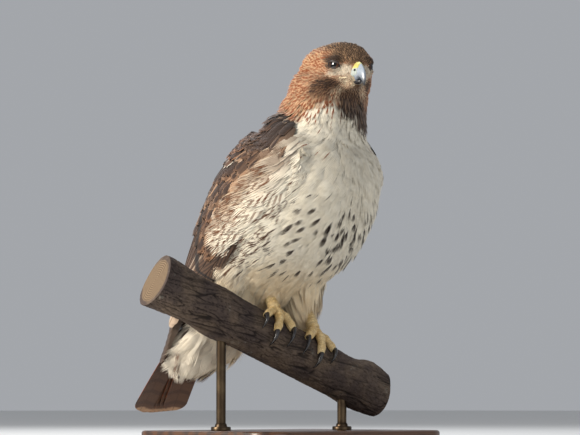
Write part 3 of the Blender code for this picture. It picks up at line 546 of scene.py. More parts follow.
@dataclass(frozen=True)
class WoodFinish:
    """Dark oiled walnut with grain along X."""

    name: str = "oiled_walnut"

    def material(self) -> bpy.types.Material:
        """Makes the material."""
        wire = Wiring(self.name)
        warp = wire.noise(wire.place((4.0, 14.0, 14.0)), 3.0, 5.0, 0.6)
        line = wire.math("MULTIPLY_ADD", warp, 15.0, wire.math("MULTIPLY", wire.node(
            "ShaderNodeSeparateXYZ", {0: wire.place()}).outputs[1], 330.0))
        grain = wire.step(wire.math("SINE", line), -0.6, 1.0)
        pores = wire.noise(wire.place((30.0, 420.0, 420.0)), 2.0, 3.0)
        colour = wire.blend(grain, (*paint(88, 58, 38), 1.0), (*paint(54, 34, 23), 1.0))
        colour = wire.blend(wire.math("MULTIPLY", wire.step(pores, 0.58, 0.70), 0.6), colour,
                            (*paint(30, 19, 13), 1.0))
        wire.bump(pores, 0.12, 0.0002)
        return wire.finish(colour, wire.math("MULTIPLY_ADD", grain, 0.10, 0.32), Coat_Weight=0.25,
                           Coat_Roughness=0.2)


@dataclass(frozen=True)
class MetalFinish:
    """Brushed dark bronze."""

    name: str = "dark_bronze"

    def material(self) -> bpy.types.Material:
        """Makes the material."""
        wire = Wiring(self.name)
        brushed = wire.noise(wire.place((260.0, 260.0, 14.0)), 2.0, 3.0)
        wear = wire.noise(wire.place(), 60.0, 5.0)
        colour = wire.blend(wire.step(wear, 0.4, 0.7), (*paint(74, 62, 50), 1.0), (*paint(96, 82, 64), 1.0))
        wire.bump(brushed, 0.1, 0.0001)
        return wire.finish(colour, wire.math("MULTIPLY_ADD", brushed, 0.22, 0.24), Metallic=1.0)


@dataclass(frozen=True)
class FloorFinish:
    """Matt pale studio paper."""

    name: str = "studio_paper"

    def material(self) -> bpy.types.Material:
        """Makes the material."""
        wire = Wiring(self.name)
        fibre = wire.noise(wire.place(), 14.0, 3.0)
        colour = wire.blend(fibre, (0.71, 0.71, 0.70, 1.0), (0.76, 0.76, 0.75, 1.0))
        return wire.finish(colour, 0.85)


def add_piece(name: str, mesh: bpy.types.Mesh, finish: bpy.types.Material,
              replaced: Sequence[str] = ()) -> bpy.types.Object:
    """Puts a finished mesh in the scene on the body and the nodes that it stands for.

    Args:
        name: the piece's name.
        mesh: its mesh, with its place in its vertices.
        finish: its material.
        replaced: CAD nodes that it stands for.

    Returns:
        The new object.
    """
    mesh.materials.clear()
    mesh.materials.append(finish)
    piece = bpy.data.objects.new(name, mesh)
    bpy.context.scene.collection.objects.link(piece)
    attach(piece, BODY)
    if replaced:
        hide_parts(*replaced)
    LOG.info("%s: %d faces", name, len(mesh.polygons))
    return piece


def triangle_mesh(name: str, points: Array, faces: Array) -> bpy.types.Mesh:
    """A smooth-shaded mesh of many small things from arrays of points and triangles."""
    mesh = bpy.data.meshes.new(name)
    mesh.vertices.add(len(points))
    mesh.vertices.foreach_set("co", points.astype(np.float32).ravel())
    mesh.loops.add(faces.size)
    mesh.loops.foreach_set("vertex_index", faces.astype(np.int32).ravel())
    mesh.polygons.add(len(faces))
    mesh.polygons.foreach_set("loop_start", np.arange(0, faces.size, 3, dtype=np.int32))
    mesh.polygons.foreach_set("loop_total", np.full(len(faces), 3, np.int32))
    mesh.polygons.foreach_set("use_smooth", np.ones(len(faces), bool))
    mesh.update(calc_edges=True)
    return mesh


def write_values(mesh: bpy.types.Mesh, name: str, values: Array) -> None:
    """Stores a number, vector or colour for each vertex; colours have four columns."""
    values = np.asarray(values, np.float32)
    if values.ndim == 1:
        mesh.attributes.new(name, "FLOAT", "POINT").data.foreach_set("value", values)
    elif values.shape[1] == 4:
        mesh.attributes.new(name, "FLOAT_COLOR", "POINT").data.foreach_set("color", values.ravel())
    else:
        mesh.attributes.new(name, "FLOAT_VECTOR", "POINT").data.foreach_set("vector", values.ravel())


def write_map(mesh: bpy.types.Mesh, name: str, places: Array) -> None:
    """Stores a UV map given by vertex."""
    corners = np.zeros(len(mesh.loops), np.int32)
    mesh.loops.foreach_get("vertex_index", corners)
    mesh.uv_layers.new(name=name).data.foreach_set("uv", places[corners].astype(np.float32).ravel())


def opaque(colours: Array) -> Array:
    """Adds a fourth column of ones to colours."""
    return np.concatenate([colours, np.ones((len(colours), 1))], 1)


def points_of(mesh: bpy.types.Mesh) -> Array:
    """The vertices of a mesh as rows."""
    rows = np.zeros(len(mesh.vertices) * 3, np.float32)
    mesh.vertices.foreach_get("co", rows)
    return rows.reshape(-1, 3).astype(float)


def sweep(rings: Sequence[Sequence[Vector]], closed: bool = True) -> bmesh.types.BMesh:
    """Extrudes a circle from ring to ring, and closes both ends with a fan.

    Args:
        rings: lists of points of equal count, in order.
        closed: whether the ends are filled.

    Returns:
        The bmesh, its faces pointing out.
    """
    bm = bmesh.new()
    made = bmesh.ops.create_circle(bm, cap_ends=False, segments=len(rings[0]), radius=1.0)
    row = made["verts"]
    for vert, place in zip(row, rings[0]):
        vert.co = place
    edges = list({edge for vert in row for edge in vert.link_edges})
    first = edges
    for ring in rings[1:]:
        order = {vert: n for n, vert in enumerate(row)}
        out = bmesh.ops.extrude_edge_only(bm, edges=edges)["geom"]
        fresh = [item for item in out if isinstance(item, bmesh.types.BMVert)]
        edges = [item for item in out if isinstance(item, bmesh.types.BMEdge)
                 and all(vert in fresh for vert in item.verts)]
        ahead: list = [None] * len(ring)
        for vert in fresh:
            near = next(edge.other_vert(vert) for edge in vert.link_edges if edge.other_vert(vert) in order)
            ahead[order[near]] = vert
        for vert, place in zip(ahead, ring):
            vert.co = place
        row = ahead
    if closed:
        for rim in (first, edges):
            cap = bmesh.ops.contextual_create(bm, geom=rim)["faces"]
            bmesh.ops.poke(bm, faces=cap)
    bmesh.ops.recalc_face_normals(bm, faces=bm.faces)
    return bm


def mesh_of(bm: bmesh.types.BMesh, name: str) -> bpy.types.Mesh:
    """Turns a bmesh into a smooth-shaded mesh."""
    mesh = bpy.data.meshes.new(name)
    bm.to_mesh(mesh)
    bm.free()
    mesh.shade_smooth()
    return mesh


def merged(meshes: Sequence[bpy.types.Mesh], name: str) -> bpy.types.Mesh:
    """Joins meshes into one, attributes included."""
    items = []
    for mesh in meshes:
        item = bpy.data.objects.new(name, mesh)
        bpy.context.scene.collection.objects.link(item)
        items.append(item)
    with bpy.context.temp_override(active_object=items[0], selected_editable_objects=items):
        bpy.ops.object.join()
    result = items[0].data
    bpy.data.objects.remove(items[0])
    result.name = name
    return result


@dataclass(frozen=True)
class Blade:
    """One feather's flat outline: where each vertex lies across and along it, and its triangles."""

    across: Array
    along: Array
    lock: Array
    level: Array
    faces: Array
    locks: int

    @classmethod
    def soft(cls, locks: int, rows: Sequence[float], widths: Sequence[float], part: float = 0.5) -> "Blade":
        """A feather whose barbs part into pointed locks beyond its last row.

        Args:
            locks: how many locks it parts into.
            rows: the joined rows' places along the feather.
            widths: the half width at each row, as a share of the greatest.
            part: how far between the last row and the tip the locks keep their width.

        Returns:
            The blade.
        """
        across, along, lock, faces = [], [], [], []
        for row, width in zip(rows, widths):
            for n in range(locks + 1):
                across.append((2.0 * n / locks - 1.0) * width)
                along.append(row)
                lock.append(-1)
        for k in range(len(rows) - 1):
            for n in range(locks):
                a, b = k * (locks + 1) + n, k * (locks + 1) + n + 1
                faces += [(a, b, b + locks + 1), (a, b + locks + 1, a + locks + 1)]
        base = (len(rows) - 1) * (locks + 1)
        middle = rows[-1] + (1.0 - rows[-1]) * part
        for n in range(locks):
            centre = ((n + 0.5) / locks) * 2.0 - 1.0
            start = len(across)
            for u, v in ((centre - 0.70 / locks, middle), (centre + 0.70 / locks, middle), (centre, 1.0)):
                across.append(u * widths[-1] * (1.0 if v < 1.0 else 0.92))
                along.append(v - 0.16 * centre**2 * v)
                lock.append(n)
            a, b = base + n, base + n + 1
            faces += [(a, b, start + 1), (a, start + 1, start), (start, start + 1, start + 2)]
        arrays = (np.array(across), np.array(along), np.array(lock), np.zeros(len(across)))
        return cls(*arrays, np.array(faces), locks)

    @classmethod
    def firm(cls, columns: int, rows: int, blunt: float, solid: bool = False) -> "Blade":
        """A feather with closed edges and a rounded tip, as one sheet or as a thin solid with its shaft.

        Args:
            columns: faces across.
            rows: faces along.
            blunt: how far from the tip the rounding begins, as a share of the length.
            solid: whether it has an upper and an under face and a raised shaft.

        Returns:
            The blade.
        """
        places = 1.0 - (1.0 - np.linspace(0.0, 1.0, rows + 1)) ** 1.6
        across, along, level, faces = [], [], [], []
        for v in places:
            width = min(1.0, 0.45 + 1.6 * v)
            if v > 1.0 - blunt:
                width *= math.sqrt(max(1.0 - ((v - 1.0 + blunt) / blunt) ** 2, 0.0))
            for n in range(columns + 1):
                u = 2.0 * n / columns - 1.0
                across.append(u * width)
                along.append(v)
                level.append(1.0 if solid else 0.0)
        count = len(across)
        for k in range(rows):
            for n in range(columns):
                a = k * (columns + 1) + n
                d = a + columns + 1
                faces += [(a, a + 1, d + 1), (a, d + 1, d)]
        if solid:
            across, along, level = across * 2, along * 2, level + [-1.0] * count
            faces += [(c + count, b + count, a + count) for a, b, c in faces]
            for k in range(rows):
                for n, flip in ((0, False), (columns, True)):
                    a, d = k * (columns + 1) + n, (k + 1) * (columns + 1) + n
                    quad = (a, d, d + count, a + count)
                    quad = quad[::-1] if flip else quad
                    faces += [(quad[0], quad[1], quad[2]), (quad[0], quad[2], quad[3])]
            for n in range(columns):
                faces += [(n, n + count, n + 1 + count), (n, n + 1 + count, n + 1)]
            for k, v in enumerate(places):
                thick = 0.055 * (1.0 - 0.8 * v)
                across += [-thick, 0.0, thick, 0.0]
                along += [min(v, 0.99)] * 4
                level += [0.9, 2.0 + 3.0 * (1.0 - v), 0.9, -2.0 - 3.0 * (1.0 - v)]
                if k:
                    here, before = 2 * count + 4 * k, 2 * count + 4 * (k - 1)
                    for n in range(4):
                        m = (n + 1) % 4
                        faces += [(before + n, before + m, here + m), (before + n, here + m, here + n)]
        arrays = (np.array(across), np.array(along), np.full(len(across), -1), np.array(level))
        return cls(*arrays, np.array(faces), 1)


@dataclass
class Plumes:
    """Many feathers laid on the bird, one row for each."""

    spine: Array
    normal: Array
    half: Array
    lifts: Array
    coat: Array
    mark: Array
    rim: Array
    traits: Array
    bake: Array
    camber: float = 0.12
    thick: float = 0.00012
    ragged: float = 0.16
    patch: tuple[float, float] = (0.003, 0.003)

    def kept(self, chosen: Array) -> "Plumes":
        """The chosen feathers only."""
        rows = {name: getattr(self, name)[chosen] for name in
                ("spine", "normal", "half", "lifts", "coat", "mark", "rim", "traits", "bake")}
        return Plumes(**rows, camber=self.camber, thick=self.thick, ragged=self.ragged, patch=self.patch)

    def mesh(self, name: str, blade: Blade, rng: np.random.Generator) -> bpy.types.Mesh:
        """Bends a copy of the blade along each spine, and joins them.

        Args:
            name: the mesh's name.
            blade: the outline that every feather here has.
            rng: the seeded draw that makes locks uneven.

        Returns:
            One mesh with its attributes and the UV maps vane and OFBake.
        """
        count, steps = self.spine.shape[:2]
        uneven = 1.0 + rng.uniform(-self.ragged, self.ragged * 0.3, (count, blade.locks + 1))
        uneven[:, -1] = 1.0
        along = np.clip(blade.along[None, :] * uneven[:, blade.lock], 0.0, 1.0)
        where = along * (steps - 1)
        low = np.minimum(where.astype(int), steps - 2)
        share = (where - low)[..., None]
        rows = np.arange(count)[:, None]
        spine = self.spine[rows, low] * (1 - share) + self.spine[rows, low + 1] * share
        normal = unit(self.normal[rows, low] * (1 - share) + self.normal[rows, low + 1] * share)
        ahead = unit(self.spine[rows, low + 1] - self.spine[rows, low])
        across = np.cross(ahead, normal)
        u = blade.across[None, :]
        half = self.half[:, None]
        lift = self.lifts[:, :1] + (self.lifts[:, 1:] - self.lifts[:, :1]) * along**0.8
        lift = lift - self.camber * half * u**2 + self.thick * blade.level[None, :]
        points = spine + across * (u * half)[..., None] + normal * lift[..., None]
        offsets = (np.arange(count) * len(blade.across))[:, None, None]
        mesh = triangle_mesh(name, points.reshape(-1, 3), (blade.faces[None] + offsets).reshape(-1, 3))
        size = len(blade.across)
        for label in ("coat", "mark", "rim"):
            write_values(mesh, label, opaque(np.repeat(getattr(self, label), size, axis=0)))
        write_values(mesh, "traits", np.repeat(self.traits, size, axis=0))
        flat = np.stack([np.broadcast_to(u * 0.5 + 0.5, along.shape), along], -1)
        write_map(mesh, "vane", flat.reshape(-1, 2))
        patches = self.bake[:, None, :] + (flat - 0.5) * np.array(self.patch)
        write_map(mesh, "OFBake", patches.reshape(-1, 2))
        return mesh


@dataclass
class Zones:
    """Where points lie on the bird, in the terms that the plumage is laid out by."""

    points: Array
    place: Array = field(init=False)
    degrees: Array = field(init=False)
    turn: Array = field(init=False)
    head: Array = field(init=False)
    eye: Array = field(init=False)
    on_head: Array = field(init=False)
    under_tail: Array = field(init=False)

    def __post_init__(self) -> None:
        """Works out the places from the points."""
        self.place, self.degrees = TORSO.locate(self.points)
        self.turn = np.abs(self.degrees)
        self.head = head_places(self.points) / MM
        ahead, left, up = self.head.T
        throat = smooth(ahead, -8.0, 14.0)
        self.on_head = smooth(up, -44.0 + 10.0 * throat, -26.0 + 6.0 * throat)
        eye = np.array(Eye.place) / MM
        self.eye = np.sqrt((ahead - eye[0] - 4.0) ** 2 + (np.abs(left) - eye[1] - 8.0) ** 2 + (up - eye[2]) ** 2)
        root, along, _, over, _ = tail_frame()
        run = (self.points - root) @ along
        drop = (self.points - root) @ over
        self.under_tail = smooth(run, 0.020, 0.045) * smooth(drop, -0.004, -0.012)

    @property
    def bake(self) -> Array:
        """Places on an unwrap of the skin: round the body across, and along it upward."""
        across = (self.degrees + 180.0) / 360.0
        head_turn = np.degrees(np.arctan2(self.head[:, 1], self.head[:, 2] + 4.0)) / 360.0 + 0.5
        body = np.stack([across, 0.02 + 0.60 * self.place / 9.0], -1)
        head = np.stack([head_turn, 0.66 + 0.32 * np.clip((self.head[:, 0] + 52.0) / 90.0, 0.0, 1.0)], -1)
        tail = np.stack([0.02 + 0.2 * (self.points[:, 0] + 0.06) / 0.12, 0.01 + 0.1 * self.place], -1)
        flat = np.where(self.on_head[:, None] > 0.5, head, body)
        flat = np.where(self.under_tail[:, None] > 0.5, tail, flat)
        return np.clip(flat, 0.004, 0.996)


def wing_limit(places: Array) -> Array:
    """The angle from the back in front of which the flank's feathers lie over the folded wing."""
    return np.interp(places, *zip(*WING_LIMIT))


def on_mantle(zones: "Zones") -> Array:
    """Whether points lie between the shoulders, where the back's feathers cover the wings' roots."""
    return (zones.place > 4.5) & (zones.turn < 60.0)


@dataclass(frozen=True)
class Markings:
    """The hawk's colours, worked out from where a feather grows; skin and coat both use them."""

    cream: tuple = paint(228, 219, 199)
    buff: tuple = paint(238, 214, 174)
    white: tuple = paint(232, 225, 210)
    rufous: tuple = paint(134, 76, 46)
    rufous_pale: tuple = paint(200, 164, 128)
    crown: tuple = paint(104, 80, 60)
    crown_edge: tuple = paint(196, 156, 118)
    dark: tuple = paint(54, 40, 33)
    umber: tuple = paint(92, 64, 46)
    wing_edge: tuple = paint(176, 130, 94)
    drop: tuple = paint(44, 32, 27)
    anchor: tuple = paint(104, 66, 42)
    buff_rufous: tuple = paint(192, 154, 122)

    neck_brown: tuple = paint(122, 80, 54)
    neck_edge: tuple = ((70.0, 6.45), (87.0, 6.6), (99.0, 6.95), (113.0, 7.36), (126.0, 7.52), (137.0, 7.58), (180.0, 7.7))
    # Where the dark throat patch begins, by angle from the front's midline; its lower start on the bird's left is
    # painted shade.
    bib_and_shade_edge: tuple = ((-60.0, 7.8), (-40.0, 7.45), (-30.0, 7.32), (-4.0, 7.16), (16.0, 6.8), (40.0, 6.6))

    def of(self, zones: Zones, rng: np.random.Generator) -> dict[str, Array]:
        """Colours and traits at points.

        Args:
            zones: where the points lie.
            rng: the seeded draw for the variation from feather to feather.

        Returns:
            Arrays coat, mark, rim and traits; traits are streak width, edging and bars.
        """
        count = len(zones.place)
        place, turn = zones.place, zones.turn
        ahead, left, up = zones.head.T
        chance = rng.uniform(0.0, 1.0, (count, 4))
        ones = np.ones((count, 1))
        coat = np.asarray(self.cream) * ones
        mark = np.asarray(self.drop) * ones
        rim = np.asarray(self.white) * ones
        streak, edging = np.zeros(count), np.full(count, 0.35)
        height = zones.points[:, 2] - PERCH_TOP
        coat = mix(coat, self.buff, 0.85 * smooth(height, 0.085, 0.045) * smooth(turn, 80.0, 110.0))
        coat = mix(coat, self.white, zones.under_tail * 0.9)
        coat = mix(coat, self.buff, zones.under_tail * (0.15 + 0.4 * smooth(zones.points[:, 0], -0.01, 0.02)))
        rim = mix(rim, self.buff_rufous, zones.under_tail * 0.6 * chance[:, 1])
        belly = smooth(place, 3.3, 3.9) * smooth(place, 5.25, 4.85) * smooth(turn, 118.0, 136.0)
        drops = belly * (chance[:, 0] < 0.13 + 0.05 * smooth(turn, 130.0, 155.0))
        streak = np.maximum(streak, drops * (0.36 + 0.22 * chance[:, 1]))
        flank = smooth(place, 2.9, 3.4) * smooth(place, 5.6, 5.0) * smooth(turn, 88.0, 98.0) * smooth(turn, 140.0, 126.0)
        anchors = flank * (chance[:, 0] < 0.48)
        mark = mix(mark, self.anchor, smooth(turn, 140.0, 116.0))
        streak = np.maximum(streak, anchors * (chance[:, 2] < 0.5) * (0.16 + 0.22 * chance[:, 1]))
        bars = anchors * (chance[:, 2] >= 0.5) * (0.6 + 0.4 * chance[:, 1])
        near = smooth(turn - wing_limit(place), 20.0, 0.0) * smooth(place, 2.9, 3.2) * smooth(place, 6.0, 5.5)
        coat = mix(coat, self.buff_rufous, near * (0.15 + 0.6 * chance[:, 2]))
        coat = mix(coat, self.umber, near * (chance[:, 3] < 1.1 * near) * (0.5 + 0.5 * chance[:, 1]))
        rim = mix(rim, paint(206, 184, 156), near)
        breast = smooth(place, 5.2, 5.6) * smooth(turn, 165.0, 150.0) * smooth(turn, 95.0, 112.0)
        fine = breast * (chance[:, 0] < 0.10)
        mark = mix(mark, self.rufous, breast)
        streak = np.maximum(streak, fine * 0.16)
        self.paint_back(zones, chance, coat, mark, rim, edging)
        streak = self.paint_neck(zones, chance, coat, mark, rim, streak)
        streak = self.paint_head(zones, chance, coat, mark, rim, streak, edging)
        tone = 1.0 + (0.10 + 0.40 * zones.on_head) * (chance[:, 3] - 0.5)
        coat = coat * tone[:, None]
        edging = np.maximum(edging, 0.85 * near)
        traits = np.stack([streak, edging, bars * (1 - zones.on_head)], -1)
        return {"coat": coat, "mark": mark, "rim": rim, "traits": traits}

    def paint_back(self, zones: Zones, chance: Array, coat: Array, mark: Array, rim: Array, edging: Array) -> None:
        """Brown back and rump with rufous edges, and white mixed into the shoulders."""
        place, turn = zones.place, zones.turn
        limit = np.minimum(wing_limit(place), 92.0)
        back = smooth(turn, limit + 2.0, limit - 8.0) * smooth(place, 6.80, 6.58)
        brown = mix(np.asarray(self.dark) * np.ones((len(place), 1)), self.umber, chance[:, 1])
        pale = (chance[:, 2] > 0.80) * smooth(turn, 18.0, 34.0) * smooth(place, 5.6, 4.9)
        coat[:] = coat * (1 - back[:, None]) + brown * back[:, None]
        edge = mix(np.asarray(self.wing_edge) * np.ones((len(place), 1)), self.rufous, 0.6 * chance[:, 3])
        edge = mix(edge, self.white, pale)
        edge = mix(edge, self.umber, smooth(place, 4.8, 5.3) * 0.7)
        rim[:] = rim * (1 - back[:, None]) + edge * back[:, None]
        edging[:] = np.maximum(edging, back * 0.75)

    def paint_neck(self, zones: Zones, chance: Array, coat: Array, mark: Array, rim: Array, streak: Array) -> Array:
        """Rufous streaks round the neck that fade onto the cream breast, and the dark throat patch in front, which
        reaches lower on the bird's left as painted shade.
        """
        place, turn = zones.place, zones.turn
        ones = np.ones((len(place), 1))
        edge = np.interp(turn, *zip(*self.neck_edge))
        full = smooth(place - edge, -0.12, 0.12)
        side = smooth(place - edge, -1.0, -0.2) * smooth(turn, 154.0, 136.0) * smooth(turn, 80.0, 96.0)
        fox = mix(np.asarray(self.rufous_pale) * ones, self.rufous, 0.55 * chance[:, 2])
        ground = mix(np.asarray(self.cream) * ones, fox, full)
        ground = mix(ground, self.neck_brown, full * smooth(turn, 104.0, 124.0) * 0.85)
        ground = mix(ground, self.crown, smooth(turn, 70.0, 40.0) * 0.8)
        share = np.maximum(side, full)
        coat[:] = mix(coat, ground, share)
        mark[:] = mix(mark, self.rufous, share)
        rim[:] = mix(rim, self.rufous_pale, full)
        streaked = share * (chance[:, 0] < 0.22 + 0.68 * full) * (0.28 + 0.25 * full + 0.15 * chance[:, 1])
        streak = np.maximum(streak * (1 - share), streaked)
        aside = np.where(zones.degrees > 0, 180.0 - zones.degrees, -180.0 - zones.degrees)
        # The dark throat patch reaches lower on the bird's left than on its right; that extra reach is painted shade.
        depth = place - np.interp(aside, *zip(*self.bib_and_shade_edge))
        bib_and_shade = smooth(depth, -0.12, 0.12) * smooth(aside, -50.0, -32.0) * smooth(aside, 64.0, 48.0)
        spread = smooth(depth, -0.5, -0.1) * smooth(np.abs(aside), 44.0, 26.0)
        coat[:] = mix(coat, mix(np.asarray(self.umber) * ones, self.dark, chance[:, 1]), bib_and_shade * 0.92)
        rim[:] = mix(rim, paint(140, 106, 80), bib_and_shade)
        mark[:] = mix(mark, self.dark, np.maximum(bib_and_shade, spread))
        return np.maximum(streak * (1 - bib_and_shade), np.maximum(bib_and_shade * 0.5, spread * (chance[:, 0] < 0.3) * 0.30))

    def paint_head(self, zones: Zones, chance: Array, coat: Array, mark: Array, rim: Array, streak: Array,
                   edging: Array) -> Array:
        """Brown crown, rufous sides, dark cheek, pale lores and chin, and a dark ring about the eye and a dark band
        over it, both partly the feathers' own colour and partly painted shade under the brow.
        """
        ahead, left, up = zones.head.T
        wide = np.abs(left)
        ones = np.ones((len(ahead), 1))
        side = mix(np.asarray(self.rufous_pale) * ones, self.rufous, 0.35 + 0.4 * chance[:, 1])
        crown = smooth(up, 9.0, 19.0) * smooth(wide, 27.0, 17.0)
        crown = np.maximum(crown, smooth(ahead, 4.0, 16.0) * smooth(up, 0.5, 4.0) * smooth(wide, 23.0, 17.0))
        crowned = mix(np.asarray(self.crown) * ones, self.crown_edge, 0.55 * (chance[:, 2] > 0.72))
        tan = smooth(up, 2.0, 9.0) * smooth(ahead, 14.0, 0.0) * (1.0 - crown)
        side = mix(side, paint(186, 148, 112), 0.6 * tan)
        tone = mix(side, crowned, np.clip(crown + 0.5 * smooth(wide, 14.0, 6.0), 0.0, 1.0))
        above = up + 10.3 + 0.9 * wide
        cheek = np.exp(-(((ahead - 15.0) / 9.5) ** 2 + ((up + 20.5) / 9.5) ** 2)) * smooth(above, 3.0, 6.0)
        cheek = np.clip(2.2 * cheek, 0.0, 1.0) * smooth(up, -8.5, -12.0)
        tone = mix(tone, mix(np.asarray(self.umber) * ones, self.dark, 0.5 * chance[:, 1]), cheek)
        lores = np.exp(-(((ahead - 27.5) / 6.5) ** 2 + ((up + 4.0) / 6.5) ** 2)) * smooth(wide, 4.0, 8.0)
        lores = np.clip(1.6 * lores, 0.0, 1.0) * smooth(up, 1.6, -1.0)
        below = np.exp(-(((ahead - 19.0) / 8.0) ** 2 + ((up + 7.0) / 2.6) ** 2)) * smooth(wide, 8.0, 12.0)
        lores = np.maximum(lores, np.clip(1.2 * below, 0.0, 1.0))
        tone = mix(tone, paint(196, 184, 164), lores)
        under = smooth(up, -11.0, -14.5) * smooth(ahead, 0.0, 7.0)
        throat = under * smooth(above, -2.5, -5.5)
        tone = mix(tone, mix(np.asarray(self.umber) * ones, self.dark, 0.6 * chance[:, 1]), throat * 0.92)
        malar = under * np.exp(-((above / 3.8) ** 2)) * smooth(up, -33.0, -28.0)
        malar = np.maximum(malar, smooth(up, -9.5, -12.5) * smooth(ahead, 21.0, 27.0) * smooth(up, -21.0, -18.0))
        tone = mix(tone, paint(198, 184, 158), np.clip(1.4 * malar, 0.0, 1.0) * (0.5 + 0.5 * chance[:, 0]))
        # Dark ring about the eye, weaker below it, and a dark band over the eye toward the bill: partly dark feathers,
        # partly painted shadow of the brow ridge.
        ring = smooth(zones.eye, 9.5, 6.0) * (1.0 - 0.75 * smooth(up, -1.0, -4.5))
        brow = smooth(up, 2.0, 6.0) * smooth(up, 14.0, 9.0) * smooth(ahead, 2.0, 14.0) * smooth(wide, 10.0, 15.0)
        tone = mix(tone, self.dark, np.clip(ring * 0.9 + brow * 0.75, 0.0, 1.0))
        share = zones.on_head[:, None]
        coat[:] = coat * (1 - share) + tone * share
        edge = mix(np.asarray(self.rufous_pale) * ones, self.crown_edge, np.clip(crown + cheek, 0.0, 1.0))
        rim[:] = rim * (1 - share) + edge * share
        mark[:] = mark * (1 - share) + mix(np.asarray(self.rufous) * ones, self.dark, np.clip(
            crown + cheek + throat + ring + 0.7 * malar, 0.0, 1.0)) * share
        inked = (0.30 + 0.25 * chance[:, 1]) * (chance[:, 0] < 0.75) * (1.0 - 0.8 * lores)
        edging[:] = edging * (1 - share[:, 0]) + (0.92 - 0.55 * np.clip(ring + brow + cheek, 0.0, 1.0)) * share[:, 0]
        return streak * (1 - share[:, 0]) + inked * share[:, 0]


